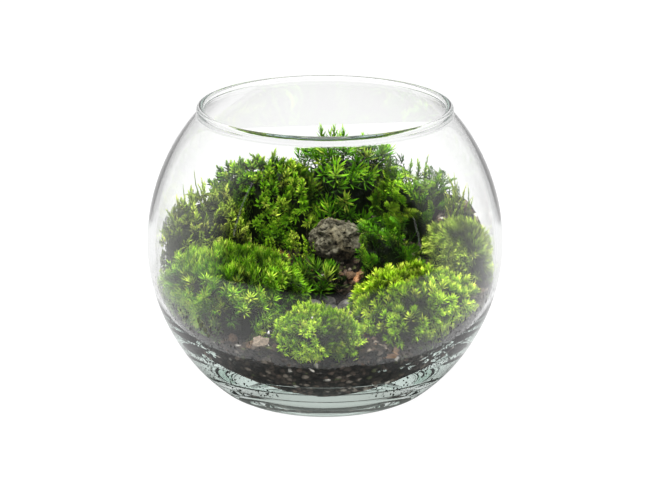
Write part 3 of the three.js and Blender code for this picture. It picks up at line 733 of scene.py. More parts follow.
@dataclass(frozen=True)
class Bowl:
    """The blown bowl: two half ovals that meet at the equator, a rolled lip and a flat foot ring."""

    radius: float = 90.0
    equator: float = 75.4
    upper_reach: float = 96.9
    lower_reach: float = 93.3
    power: float = 1.96
    wall: float = 3.6
    base: float = 7.0
    cavity_power: float = 2.45
    rim_radius: float = 64.0
    rim_start: float = 142.9
    neck: float = 2.1
    taper: Pair = (144.6, 62.0)
    height: float = 147.0
    rim_rounding: float = 1.7
    lip_past_level: float = 0.15
    lip_steps: int = 15
    foot_radius: float = 48.5
    heel: Pair = (52.2, 0.8)
    heel_half_way: float = 0.25
    lower_start: float = 2.4
    hollow_radius: float = 36.0
    hollow_depth: float = 1.0
    hollow_step: float = 2.5
    steps: int = 54
    columns: int = 300

    def oval(self, radius: float, reach: float, power: float, z: Array) -> Array:
        """Radius of an oval centred on the equator: R(1 - |dz/reach|^p)^(1/p).

        Args:
            radius: Its half width.
            reach: How far up or down it goes.
            power: Its squareness.
            z: Heights.

        Returns:
            The radius at each height.
        """
        share = np.clip(np.abs((z - self.equator) / reach), 0, 1)
        return radius * (1 - share**power) ** (1 / power)

    def arc(self, radius: float, reach: float, power: float, z_from: float, z_to: float) -> Array:
        """Points along that oval, evenly spaced in angle between two heights.

        Args:
            radius: Its half width.
            reach: How far up or down it goes.
            power: Its squareness.
            z_from: The first height.
            z_to: The last height.

        Returns:
            Radius and height of each point.
        """
        ends = np.array([z_from, z_to]) - self.equator
        angle = np.sign(ends) * np.arcsin(np.minimum(1, np.abs(ends / reach)) ** (power / 2))
        a = np.linspace(angle[0], angle[1], self.steps + 1)
        z = reach * np.sign(a) * np.abs(np.sin(a)) ** (2 / power)
        r = radius * np.maximum(0, np.cos(a)) ** (2 / power)
        return np.stack([r, self.equator + z], -1)

    def cavity_radius(self, z: Array) -> Array:
        """Inner radius of the glass.

        Args:
            z: Heights.

        Returns:
            The radius at each height, from the lower oval or the upper one.
        """
        inner = self.radius - self.wall
        low = self.oval(inner, self.equator - self.base, self.cavity_power, z)
        high = self.oval(inner, self.upper_reach - self.wall, self.power, z)
        return np.where(z < self.equator, low, high)

    def profile(self) -> Array:
        """The section of the glass, from the middle of its foot round the lip to its inner floor.

        Returns:
            Radius and height of each point.
        """
        foot = [(0, self.hollow_depth), (self.hollow_radius, self.hollow_depth)]
        for t in (0.3, 0.6, 1):
            step_height = self.hollow_depth * (1 - smoothstep(t))
            foot.append((self.hollow_radius + self.hollow_step * t, step_height))
        half_way = (self.foot_radius + self.heel[0]) / 2
        foot += [(self.foot_radius, 0), (half_way, self.heel_half_way), self.heel]
        lower = self.arc(self.radius, self.lower_reach, self.power, self.lower_start, self.equator)
        upper = self.arc(self.radius, self.upper_reach, self.power, self.equator, self.rim_start)
        a = np.linspace(-self.lip_past_level, np.pi + self.lip_past_level, self.lip_steps)
        lip_middle = self.rim_radius - self.wall / 2
        lip_top = self.height - self.rim_rounding
        lip = np.stack([lip_middle + self.wall / 2 * np.cos(a), lip_top + self.rim_rounding * np.sin(a)], -1)
        inner = self.radius - self.wall
        z = np.linspace(self.taper[0], self.equator, self.steps + 1)
        outer = self.oval(self.radius, self.upper_reach, self.power, z)
        thick = outer - self.cavity_radius(z)
        share = smoothstep((self.taper[0] - z) / self.taper[1])
        high = np.stack([outer - self.neck - (thick - self.neck) * share, z], -1)
        low = self.arc(inner, self.equator - self.base, self.cavity_power, self.equator, self.base)
        low[-1, 0] = 0
        return np.concatenate([np.array(foot), lower, upper[1:], lip, high, low[1:]])

    def build(self) -> None:
        """Makes the glass."""
        glass = revolved(rounded(self.profile()), self.columns)
        material = ClearGlass().material()
        add_piece("blown_glass_bowl", glass, material, ("glass_bowl",), smooth=True)


@dataclass(frozen=True)
class Ground:
    """The soil and the gravel under it: the soil's face is level in front and rises to a bank behind.

    Each side's rise is its height, its start and its run, and each dip its middle, half width and depth. Each
    edge of the moist part is how far it wavers and how wide it is.
    """

    bowl: Bowl
    gap: float = 0.3
    gravel_top: float = 25.0
    front: float = 46.0
    bank_height: float = 30.0
    bank_start: float = 10.0
    bank_slant: float = 0.25
    bank_run: float = 75.0
    right_rise: Triple = (8.0, 38.0, 40.0)
    left_rise: Triple = (4.0, 40.0, 40.0)
    dips: tuple[Triple, ...] = ((-3, 26, 9), (47, 24, 7))
    dips_from: float = 60.0
    dips_run: float = 16.0
    moist_from: float = 0.58
    dry_below: float = 18.5
    dry_rise: float = 34.0
    dry_above: float = 39.0
    lower_edge: Pair = (0.4, 1.2)
    side_edge: Pair = (0.03, 0.06)
    upper_edge: Pair = (6.0, 2.5)
    wet_rings: tuple[Pair, ...] = ((9.3, 10.7), (15.4, 16.0))
    ring_edge: float = 0.2
    pressed: float = 0.1
    ring_pressed: float = 0.25
    grain_size: float = 1.7
    soil_grains: int = 1500
    crumbs: int = 900
    gravel_grains: int = 1300
    lowest_grain: float = 1.2
    seed: int = 3
    soil_colours: tuple[Stop, ...] = (
        (0.0, (0.009, 0.007, 0.005)),
        (0.3, (0.024, 0.018, 0.013)),
        (0.55, (0.045, 0.033, 0.024)),
        (0.74, (0.085, 0.06, 0.042)),
        (0.84, (0.06, 0.07, 0.025)),
        (0.9, (0.16, 0.135, 0.105)),
        (0.975, (0.55, 0.52, 0.46)),
    )
    gravel_colours: tuple[Stop, ...] = (
        (0.0, (0.02, 0.017, 0.014)),
        (0.35, (0.045, 0.037, 0.03)),
        (0.6, (0.085, 0.062, 0.048)),
        (0.78, (0.16, 0.12, 0.09)),
        (0.9, (0.26, 0.23, 0.19)),
        (0.965, (0.6, 0.58, 0.54)),
    )

    def height(self, x: Array, y: Array) -> Array:
        """Height of the soil's face: eased rises to the back, right and left, less dips at the front glass.

        Args:
            x: Places across.
            y: Places towards the back.

        Returns:
            The height at each place.
        """
        towards = y + self.bank_start + self.bank_slant * np.maximum(0, x)
        rise = self.bank_height * smoothstep(towards / self.bank_run)
        sides = ((x, self.right_rise), (-x, self.left_rise))
        right, left = (high * smoothstep((out - start) / run) for out, (high, start, run) in sides)
        rise += right + left
        at_glass = np.where(y < 0, smoothstep((np.hypot(x, y) - self.dips_from) / self.dips_run), 0)
        for middle, half_width, depth in self.dips:
            rise = rise - depth * at_glass * smoothstep(1 - np.abs(x - middle) / half_width)
        uneven = 0.7 * np.sin(x / 6.5 + 1) * np.cos(y / 7.5) + 0.5 * np.sin((x + y) / 4.3)
        return self.front + rise + uneven

    def edge(self, phi: Array) -> tuple[Array, Array]:
        """Where the soil's face meets the glass, found by stepping between the two formulas.

        Args:
            phi: Directions.

        Returns:
            The radius and the height in each direction.
        """
        radius = np.full(phi.shape, self.bowl.radius - 8.0)
        for _ in range(12):
            z = self.height(radius * np.cos(phi), radius * np.sin(phi))
            radius = self.bowl.cavity_radius(z) - self.gap
        return radius, z

    def seat(self, phi: Array, z: Array) -> Array:
        """Radius of the ground's side: pressed on the glass where that is moist, a little off it elsewhere.

        The glass is moist in front, between two heights of which the lower rises to the sides, and in thin
        rings. Each limit of the moist part is eased over a width and wavers with the grain.

        Args:
            phi: Directions.
            z: Heights.

        Returns:
            The radius at each direction and height.
        """
        wall = self.bowl.cavity_radius(z)
        side = around(wall, phi, z).reshape(-1, 3)
        grain = rough(side * np.array([0.6, 0.6, 1.0]), self.grain_size, 3, 12).reshape(z.shape)
        front = -np.sin(phi)
        lowest = self.dry_below + self.dry_rise * (1 - np.clip(front, 0, 1)) ** 0.8
        limits = (
            (z - lowest, self.lower_edge),
            (front - self.moist_from, self.side_edge),
            (self.dry_above - z, self.upper_edge),
        )
        moist = 1.0
        for inside, (waver, width) in limits:
            moist = moist * smoothstep((inside + waver * grain) / width)
        ring = sum(
            smoothstep((z - low) / self.ring_edge) * smoothstep((high - z) / self.ring_edge)
            for low, high in self.wet_rings
        )
        dry = wall - self.gap - np.clip(0.4 + 0.5 * grain, 0, 1)
        pressed = wall + self.pressed + self.ring_pressed * ring
        return dry + (pressed - dry) * np.maximum(moist, ring)

    def soil_surface(self, columns: int = 440, rings: int = 46, rows: int = 36) -> Surface:
        """The soil as one closed crumbly body: its face, its side at the glass and its underside.

        Args:
            columns: Points round.
            rings: Rings on the face.
            rows: Rows down the side.

        Returns:
            The surface: heights and sides are pushed by noise, inwards only at the glass.
        """
        phi = turns(columns)
        edge_radius, edge_z = self.edge(phi)
        share = np.linspace(0, 1, rings + 1)[1:, None] ** 0.8
        x, y = share * edge_radius * np.cos(phi), share * edge_radius * np.sin(phi)
        face = np.stack([x, y, self.height(x, y)], -1)
        flat = face.reshape(-1, 3)
        lift = 0.9 * rough(flat, 3.2, 3, 11) - 0.3
        fade = (1 - smoothstep((share * np.ones(columns) - 0.93) / 0.07)).ravel()
        flat[:, 2] += lift * (0.2 + 0.8 * fade) - 0.2
        foot_z = self.gravel_top + self.gap
        down = np.linspace(0, 1, rows + 1)[1:, None]
        z = edge_z + (foot_z - edge_z) * down
        radius = self.seat(phi + 0 * z, z)
        both = np.concatenate([flat.reshape(rings, columns, 3), around(radius, phi, z)])
        top = float(self.height(np.zeros(1), np.zeros(1))[0])
        body = closed_rings(both, on_axis(top), on_axis(foot_z))
        body.tone = np.full(len(body.points), -1.0)
        return body

    def lumps(self, centres: Array, sizes: Array, rng: Draws, level: int = 0) -> Surface:
        """Angular grains: a ball of few faces for each, stretched, turned and knocked about by its own draws.

        Args:
            centres: The middle of each, n by 3.
            sizes: Half widths of each, n by 3, along its own axes.
            rng: The draws.
            level: How fine each ball is.

        Returns:
            All of them as one surface, each with its own tone.
        """
        ball, ball_faces = unit_ball(level)
        n, m = len(centres), len(ball)
        knock = 1 + 0.6 * (rng.random((n, m, 1)) - 0.5)
        turn = rng.random(n) * 2 * np.pi
        shaped = ball[None] * knock * sizes[:, None, :]
        cos, sin = np.cos(turn)[:, None], np.sin(turn)[:, None]
        x = shaped[..., 0] * cos - shaped[..., 1] * sin
        y = shaped[..., 0] * sin + shaped[..., 1] * cos
        points = np.stack([x, y, shaped[..., 2]], -1) + centres[:, None]
        tone = np.repeat(rng.random(n), m)
        return Surface(points.reshape(-1, 3), repeated(ball_faces, m, n), np.ones(n * m), tone)

    def side_grains(self, count: int, z_from: float, rng: Draws, z_to: float | None = None) -> Surface:
        """Grains that lie against the glass, half sunk in the soil's side.

        Args:
            count: How many.
            z_from: The lowest height.
            rng: The draws.
            z_to: The highest height, or None for up to the soil's face.

        Returns:
            The grains.
        """
        phi = rng.random(count) * 2 * np.pi
        edge_z = self.edge(phi)[1] if z_to is None else np.full(count, z_to)
        z = z_from + (edge_z - z_from - 0.5) * rng.random(count)
        size = 0.35 + 0.95 * rng.random(count) ** 3
        radius = self.bowl.cavity_radius(z - 0.5 * size) - self.gap - 0.9 * size
        centres = around(radius, phi, z)
        stretch = 0.8 + 0.5 * rng.random((count, 3))
        return self.lumps(centres, size[:, None] * stretch * np.array([0.8, 0.8, 0.75]), rng)

    def face_grains(self, count: int, rng: Draws) -> Surface:
        """Crumbs that lie on the soil's face.

        Args:
            count: How many.
            rng: The draws.

        Returns:
            The crumbs.
        """
        phi = rng.random(count) * 2 * np.pi
        radius = (self.edge(phi)[0] - 2) * np.sqrt(rng.random(count))
        x, y = radius * np.cos(phi), radius * np.sin(phi)
        size = 0.4 + 1.0 * rng.random(count) ** 2.5
        centres = np.stack([x, y, self.height(x, y) - 0.5 + 0.5 * size], -1)
        return self.lumps(centres, size[:, None] * (0.7 + 0.6 * rng.random((count, 3))), rng)

    def gravel_surface(self, columns: int = 240, rows: int = 60) -> Surface:
        """The gravel's body between the glass floor and the soil, dented by noise.

        Args:
            columns: Points round.
            rows: Rows up the side.

        Returns:
            The closed surface.
        """
        phi = turns(columns)
        low = self.bowl.base + self.gap
        z = (low + 0.2 + (self.gravel_top - low - 0.2) * np.linspace(0, 1, rows)[:, None] ** 1.8) + 0 * phi
        radius = self.seat(phi + 0 * z, z)
        body = closed_rings(around(radius, phi, z), on_axis(low), on_axis(self.gravel_top))
        body.tone = np.full(len(body.points), -1.0)
        return body

    def build(self) -> None:
        """Makes the soil and the gravel, each with its grains."""
        rng = np.random.default_rng(self.seed)
        soil = Grit("moist_soil", self.soil_colours).material()
        sunk = self.side_grains(self.soil_grains, self.gravel_top, rng)
        parts = [self.soil_surface(), sunk, self.face_grains(self.crumbs, rng)]
        add_piece("potting_soil", joined(parts), soil, ("soil",))
        gravel = Grit("mixed_gravel", self.gravel_colours).material()
        lowest = self.bowl.base + self.lowest_grain
        grains = self.side_grains(self.gravel_grains, lowest, rng, self.gravel_top)
        bed = joined([self.gravel_surface(), grains])
        add_piece("mixed_drainage_gravel", bed, gravel, ("drainage_gravel",))


# Leaves and stems


class LeafForm(Enum):
    """The forms that a leaf has."""

    KITE = "small and pointed, with four faces"
    ARCHED = "long and keeled on an arch, with twelve faces"


@dataclass(frozen=True)
class LeafSet:
    """Many leaves at once: each array has a row for every leaf.

    A leaf starts at its root and points along its heading, and its upper side looks along facing. The curl is
    how far the tip bends off the heading, as a share of the length. The value at the root is along, the value
    at the tip is its ripeness with painted shade on it, and tone is the leaf's own draw.
    """

    root: Array
    heading: Array
    facing: Array
    length: Array
    width: Array
    curl: float
    along: Array
    ripe_and_shade: Array
    tone: Array
    keel: float = 0.16
    widest: float = 0.42

    def kites(self) -> Surface:
        """Leaves of a root, a tip and two side points, lifted off the keel where the leaf is widest.

        Returns:
            All the leaves: root + heading s + facing curl s, with the sides half the width off it.
        """
        side = np.cross(self.heading, self.facing)
        long, wide = self.length[:, None], self.width[:, None]
        tip = self.root + self.heading * long + self.facing * (self.curl * long)
        lift = self.widest * self.curl * long + self.keel * wide
        middle = self.root + self.heading * (self.widest * long) + self.facing * lift
        half = side * (wide / 2)
        points = np.stack([self.root, middle + half, middle - half, tip], 1).reshape(-1, 3)
        faces = repeated([(0, 1, 2), (1, 3, 2), (0, 3, 1), (0, 2, 3)], 4, len(self.root))
        half_ripe_and_shade = self.along + (self.ripe_and_shade - self.along) * 0.6
        values = np.stack([self.along, half_ripe_and_shade, half_ripe_and_shade, self.ripe_and_shade], 1).ravel()
        return Surface(points, faces, values, np.repeat(self.tone, 4)).outward()

    def arched(self) -> Surface:
        """Leaves of two rings of left, right and keel between a root and a tip, on an arch.

        Returns:
            All the leaves: the middle line is root + heading s + facing curl s^2, for s up to the length.
        """
        side = np.cross(self.heading, self.facing)
        long, wide = self.length[:, None], self.width[:, None]

        def centre(s: float) -> Array:
            """The middle line at a share of the length."""
            return self.root + self.heading * (s * long) + self.facing * (self.curl * s * s * long)

        columns = [self.root]
        for s, spread in ((0.28, 1.0), (0.66, 0.72)):
            here = centre(s)
            half = side * (wide * spread / 2)
            lift = self.facing * (self.keel * wide * spread)
            columns += [here + half + lift, here - half + lift, here - lift]
        columns.append(centre(1.0))
        points = np.stack(columns, 1).reshape(-1, 3)
        shares = np.array([0, 0.4, 0.4, 0.3, 0.82, 0.82, 0.7, 1.0])
        values = (self.along[:, None] + (self.ripe_and_shade - self.along)[:, None] * shares).ravel()
        return Surface(points, spindles(2, len(self.root)), values, np.repeat(self.tone, 8)).outward()

    def surface(self, form: LeafForm) -> Surface:
        """The leaves in one of their forms."""
        return self.arched() if form is LeafForm.ARCHED else self.kites()


@dataclass(frozen=True)
class LeafHabit:
    """How leaves sit on a stem: how many, how large, where they start, and how far they spread from it.

    The spread is the lean at the first and at the last leaf, in radians. The small tip is the last leaf's
    share of the full size. First turn, shake and uneven lean say how much they differ, in radians.
    """

    count: int
    length: float
    width: float
    start: float = 0.3
    spread: Pair = (1.15, 0.3)
    curl: float = 0.1
    form: LeafForm = LeafForm.KITE
    small_tip: float = 0.75
    first_turn: float = 6.28
    shake: float = 0.5
    uneven_lean: float = 0.25


@dataclass(frozen=True)
class FrondHabit:
    """How a frond grows: its length, width and side branches.

    The rise is how far it arches off the core, and the droop how far its tip hangs, as shares of its length.
    Wander is the spread of directions about straight up the slope, in radians. Leaf is the length of the
    small leaves, which a scaly frond has on its branches too, and light is how light they are painted on
    average, as painted shade.
    """

    length: float
    width: float
    branches: int
    rise: float = 0.5
    droop: float = 0.3
    wander: float = 2.6
    leaf: float = 1.4
    scaly: bool = True
    light: float = 0.75


@dataclass
class Stems:
    """Stems on a gentle curve: each runs from its foot to its tip and is drawn towards a bend."""

    foot: Array
    bend: Array
    tip: Array

    def place(self, s: Array) -> Array:
        """Points at shares of the way up, which broadcast over the stems."""
        return curve(self.foot[:, None], self.bend[:, None], self.tip[:, None], s[..., None])

    def tangent(self, s: Array) -> Array:
        """The unit direction at s: 2(1-s)(bend - foot) + 2s(tip - bend), at length one."""
        s = s[..., None]
        return unit(2 * (1 - s) * (self.bend - self.foot)[:, None] + 2 * s * (self.tip - self.bend)[:, None])

    def leaves(self, habit: LeafHabit, rng: Draws, tone: Array, shade: Array | None = None) -> Surface:
        """Leaves set spirally up every stem, a golden angle apart.

        Args:
            habit: How they sit.
            rng: The draws.
            tone: One value for each stem, which its leaves vary from.
            shade: How light each stem's leaves are painted, as painted shade, or None for fully light.

        Returns:
            All the leaves.
        """
        n, m = len(self.foot), habit.count
        step = (np.arange(m) + rng.random((n, m))) / m
        s = habit.start + (1 - habit.start) * step
        root = self.place(s)
        along_stem = self.tangent(s)
        reference = np.where(np.abs(along_stem[..., 2:]) > 0.9, [1.0, 0.0, 0.0], [0.0, 0.0, 1.0])
        side = unit(np.cross(along_stem, reference))
        across = np.cross(side, along_stem)
        turn = np.arange(m) * GOLDEN_ANGLE + habit.first_turn * rng.random((n, 1))
        turn = turn + habit.shake * rng.random((n, m))
        out = side * np.cos(turn)[..., None] + across * np.sin(turn)[..., None]
        first, last = habit.spread
        lean = first + (last - first) * step**1.3 + habit.uneven_lean * (rng.random((n, m)) - 0.5)
        cos, sin = np.cos(lean)[..., None], np.sin(lean)[..., None]
        heading = along_stem * cos + out * sin
        facing = along_stem * sin - out * cos
        swell = 0.75 + 0.25 * np.sin(np.pi * np.clip(step * 1.1, 0, 1))
        size = swell * (1 - (1 - habit.small_tip) * step**3)
        size = size * (0.8 + 0.4 * rng.random((n, m)))
        # Painted shade: leaves low on a stem are painted darker, and those of stems in shade darker still.
        ripe_and_shade = 0.42 + 0.58 * step
        if shade is not None:
            ripe_and_shade = np.clip(ripe_and_shade * shade[:, None], 0, 1)
        start = 0.5 * ripe_and_shade * step**1.5
        values = np.clip(tone[:, None] + 0.35 * (rng.random((n, m)) - 0.5), 0, 1)
        flat = [a.reshape(-1, 3) for a in (root, heading, facing)]
        sizes = ((habit.length * size).ravel(), (habit.width * size).ravel())
        leaves = LeafSet(*flat, *sizes, habit.curl, start.ravel(), ripe_and_shade.ravel(), values.ravel())
        return leaves.surface(habit.form)

    def tubes(self, radius: float, tone: Array) -> Surface:
        """A three-sided tapered tube along every stem: three rings between two end points.

        Args:
            radius: Half its width at the foot.
            tone: One value for each stem.

        Returns:
            All the tubes.
        """
        n = len(self.foot)
        s = np.array([0.02, 0.45, 0.85]) + np.zeros((n, 1))
        centre, direction = self.place(s), self.tangent(s)
        side = unit(np.cross(direction, np.array([0.31, 0.22, 0.93])))
        across = np.cross(side, direction)
        columns = [self.foot]
        for j in range(3):
            thick = radius * (1 - 0.55 * s[0, j])
            for turn in (0, 2 * np.pi / 3, 4 * np.pi / 3):
                away = side[:, j] * math.cos(turn) + across[:, j] * math.sin(turn)
                columns.append(centre[:, j] + thick * away)
        columns.append(self.tip)
        points = np.stack(columns, 1).reshape(-1, 3)
        values = np.tile([0.15] + [0.2] * 3 + [0.3] * 3 + [0.4] * 3 + [0.45], n)
        return Surface(points, spindles(3, n), values, np.repeat(tone, 11)).outward()


# Moss clumps


@dataclass(frozen=True)
class Place:
    """Where a thing stands on the soil: its middle, its half widths and the height of its core's top."""

    at: Pair
    reach: Pair
    top: float

    @property
    def size(self) -> float:
        """Its mean half width."""
        return (self.reach[0] + self.reach[1]) / 2


# Where the clumps and the feature stone stand, by their solids.
PLACES: dict[str, Place] = {
    "cushion_moss_front_left": Place((-47, -28), (33, 37), 70),
    "cushion_moss_front_right": Place((45, -31), (29, 34), 62.5),
    "cushion_moss_front_centre": Place((-4, -63), (20, 18), 57),
    "star_moss_centre": Place((-3, 0), (16, 14), 53),
    "fine_moss_dome_right": Place((69, 3), (18, 19), 79),
    "mound_moss_back_left": Place((-32, 46), (33, 29), 100),
    "fern_moss_bank_left": Place((-64, 21), (27, 34), 90),
    "star_moss_bank_back": Place((13, 58), (33, 29), 98),
    "fern_moss_bank_right": Place((47, 43), (29, 27), 92),
    "wispy_moss_right": Place((70, 32), (17, 20), 84),
    "feather_moss_centre_left": Place((-27, 13), (22, 18), 66),
    "feather_moss_centre_right": Place((32, 12), (22, 19), 71),
    "feature_stone": Place((4.5, 23), (13, 11), 80),
}

# Places on the soil where nothing grows: the middle and the radius of each.
OPEN_GROUND: tuple[Triple, ...] = (
    (-30, 11, 4.5),
    (-22, 10, 4.5),
    (-16, 5, 4.5),
    (17, 5, 4.5),
    (14, 11, 6.0),
    (19, 16, 4.5),
    (2, -14, 5),
    (-24, -4, 6.0),
    (-16, -12, 6.5),
    (-14, -23, 4.0),
)


class Palette(Enum):
    """The finishes of the leaves: each goes from a dark foot to a bright tip, and has an aged colour."""

    MID_GREEN = MossLeaf(
        "mid_green_leaves", (0.004, 0.008, 0.001), (0.11, 0.3, 0.004), (0.52, 0.8, 0.05), (0.42, 0.48, 0.06)
    )
    BRIGHT_GREEN = MossLeaf(
        "bright_leaves", (0.008, 0.016, 0.001), (0.28, 0.52, 0.008), (0.82, 0.96, 0.1), (0.6, 0.64, 0.09)
    )
    FRESH_GREEN = MossLeaf(
        "fresh_leaves", (0.006, 0.012, 0.001), (0.19, 0.4, 0.006), (0.66, 0.88, 0.07), (0.5, 0.56, 0.075)
    )
    DEEP_GREEN = MossLeaf(
        "deep_green_leaves", (0.003, 0.007, 0.001), (0.09, 0.3, 0.004), (0.46, 0.8, 0.04), (0.42, 0.5, 0.06)
    )
    OLIVE = MossLeaf(
        "olive_leaves", (0.01, 0.015, 0.003), (0.33, 0.5, 0.035), (0.9, 1.0, 0.2), (0.68, 0.68, 0.17)
    )
    PALE_GREEN = MossLeaf(
        "pale_leaves", (0.012, 0.02, 0.003), (0.34, 0.52, 0.04), (0.88, 1.0, 0.2), (0.62, 0.66, 0.14)
    )


@dataclass
class Clump:
    """One clump of moss: a rounded dark core and what grows on it, kept off the glass and the next clumps.

    The inset keeps the core off those limits, the clearance keeps everything off the glass, and what grows
    may reach over a limit with the next clump by the overlap. Lumps is how uneven the core's round is. Outer
    is how far left or right shoots start to count as outer ones, and over what distance; outer ones are
    painted lighter, as painted light.
    """

    node: str
    ground: Ground
    finish: Palette
    slot: Slot
    seed: int
    inset: float = 5.0
    core_share: float = 1.0
    core_rise: float = 1.0
    lumps: float = 0.05
    clearance: float = 0.5
    overlap: float = 1.6
    outer: Pair = (44.0, 18.0)
    parts: list[Surface] = field(default_factory=list)

    def __post_init__(self) -> None:
        """Works out the clump's foot, its share of the plan and its draws."""
        self.place = PLACES[self.node]
        self.rng = np.random.default_rng(self.seed)
        self.phase = self.seed * 1.7
        at, reach = np.array(self.place.at), np.array(self.place.reach)
        phi = np.pi * np.arange(12) / 6
        rim = at + reach * np.stack([np.cos(phi), np.sin(phi)], -1)
        self.foot = float(self.ground.height(rim[:, 0], rim[:, 1]).min()) - 1
        edges = []
        for name, other in PLACES.items():
            if name == self.node:
                continue
            apart = np.array(other.at) - at
            distance = float(np.hypot(*apart))
            share = (distance**2 + self.place.size**2 - other.size**2) / (2 * distance)
            direction = apart / distance
            edges.append([*direction, share + float(direction @ at)])
        self.edges = np.array(edges)

    def kept_inside(self, points: Array, inset: float, overlap: float) -> Array:
        """Draws points towards the clump's middle until they clear the glass and the next clumps.

        Args:
            points: Places, n by 3.
            inset: How far they keep from the limits.
            overlap: How far they may reach past a limit that is another clump's.

        Returns:
            The places, each moved level along its line to the middle by the largest share that has room.
        """
        middle = np.array(self.place.at)
        out = points[:, :2] - middle
        far = np.maximum((out**2).sum(1), 1e-9)
        wall = self.ground.bowl.cavity_radius(points[:, 2]) - self.clearance - inset
        inward = out @ middle
        spare = inward**2 - far * (middle @ middle - wall**2)
        share = (np.sqrt(np.maximum(0, spare)) - inward) / far
        rise = out @ self.edges[:, :2].T
        room = np.maximum(0.1, self.edges[:, 2] + overlap - inset - self.edges[:, :2] @ middle)
        limits = np.where(rise > 0, room / np.maximum(rise, 1e-9), np.inf)
        share = np.minimum(1, np.minimum(share, limits.min(1)))
        moved = points.copy()
        moved[:, :2] = middle + out * share[:, None]
        return moved

    def core_points(self, tilt: Array, phi: Array) -> Array:
        """Points of the rounded core: the radius goes as sin(tilt)^0.85 and the height as cos(tilt)^0.75.

        Args:
            tilt: Angle down from the crown.
            phi: Direction.

        Returns:
            The points, n by 3.
        """
        sin, cos = np.sin(tilt), np.cos(tilt)
        bulge = 1 + self.lumps * np.sin(3 * phi + self.phase) * sin
        spread = self.core_share * np.maximum(sin, 0) ** 0.85 * bulge
        sag = 1 + self.lumps * 0.5 * np.sin(5 * phi + 2 * self.phase + 3 * tilt) * sin
        rise = self.core_rise * (self.place.top - self.foot) * np.maximum(cos, 0) ** 0.75 * sag
        z = self.foot + np.where(cos > 0, rise, 3 * cos)
        x = self.place.at[0] + self.place.reach[0] * spread * np.cos(phi)
        y = self.place.at[1] + self.place.reach[1] * spread * np.sin(phi)
        return self.kept_inside(np.stack([x, y, z], -1), self.inset, 0.0)

    def add_core(self, rows: int = 26, columns: int = 60) -> None:
        """Adds the core: a closed dome, roughened by noise and dark all over, as painted shade of the clump's
        inside.

        Args:
            rows: Rings from the crown down.
            columns: Points round each.
        """
        tilts = np.linspace(0, 0.62 * np.pi, rows + 1)[1:]
        tilt, phi = np.meshgrid(tilts, turns(columns), indexing="ij")
        points = self.core_points(tilt.ravel(), phi.ravel())
        points[:, 2] += 1.2 * rough(points, 5, 2, self.seed)
        crown = self.core_points(np.zeros(1), np.zeros(1))[0]
        foot = np.array([*self.place.at, points[:, 2].min()])
        core = closed_rings(points.reshape(rows, columns, 3), crown, foot)
        # Painted shade: the core takes the leaves' darkest colour.
        core.along = 0 * core.along
        core.tone = 0.3 + 0 * core.tone
        self.parts.append(core)

    def spots(self, count: int, lowest: float, highest: float = 0.0) -> tuple[Array, Array]:
        """Even, slightly shaken places over the core, off the bare ground and above the soil.

        Args:
            count: How many are tried.
            lowest: The tilt of the lowest.
            highest: The tilt of the highest.

        Returns:
            The places and the core's outward direction at each.
        """
        share = (np.arange(count) + 0.5) / count
        even_tilt = np.arccos(1 - share * (1 - np.cos(lowest)))
        tilt = np.abs(even_tilt + 0.5 * (self.rng.random(count) - 0.5) / np.sqrt(count))
        shaken = 4.0 * (self.rng.random(count) - 0.5) / np.sqrt(count)
        phi = np.arange(count) * GOLDEN_ANGLE + self.phase + shaken
        point = self.core_points(tilt, phi)
        down, beside = self.core_points(tilt + 0.05, phi), self.core_points(tilt, phi + 0.05)
        normal = unit(np.cross(down - point, beside - point))
        above_soil = point[:, 2] > self.ground.height(point[:, 0], point[:, 1]) + 1.0
        keep = above_soil & (tilt > highest)
        for x, y, radius in OPEN_GROUND:
            keep &= np.hypot(point[:, 0] - x, point[:, 1] - y) > radius
        return point[keep], normal[keep]

    def shoots(
        self,
        count: int,
        tall: float,
        habit: LeafHabit,
        lowest: float = 1.5,
        up: float = 0.45,
        uneven: float = 0.4,
        gather: float = 0.7,
        highest: float = 0.0,
        light: float = 0.82,
        outward: float = 0.0,
    ) -> None:
        """Adds leafy shoots all over the core, taller and shorter in patches and gathered into leaning tufts.

        Args:
            count: How many are tried.
            tall: Their length.
            habit: How their leaves sit.
            lowest: The tilt of the lowest.
            up: How much they turn upwards.
            uneven: How much patches differ in height.
            gather: How much neighbours lean together.
            highest: The tilt of the highest.
            light: How light their leaves are painted in the mean patch, a level of painted shade.
            outward: How much lighter their leaves are painted towards the bowl's left and right sides, as
                painted light.
        """
        point, normal = self.spots(count, lowest, highest)
        n = len(point)
        patch = lattice_noise(point / 6.5, self.seed)
        lean = np.stack([lattice_noise(point / 8.0, self.seed + k) for k in (5, 6, 7)], -1)
        axis = unit(normal + np.array([0, 0, up]) + gather * lean + 0.35 * (self.rng.random((n, 3)) - 0.5))
        length = tall * (1 + uneven * patch) * (0.75 + 0.5 * self.rng.random(n))
        foot = point - 1.2 * normal
        tip = foot + axis * (length + 1.2)[:, None]
        bend = foot + normal * (0.5 * length)[:, None]
        stems = Stems(foot, bend, tip)
        # Painted shade and light: leaves are painted darker in some patches and lighter towards the bowl's
        # sides.
        start, run = self.outer
        outer = smoothstep((np.abs(point[:, 0]) - start) / run)
        shade = np.clip(light + outward * outer + 0.7 * patch, 0.2, 1.15)
        self.parts.append(stems.leaves(habit, self.rng, self.rng.random(n), shade))

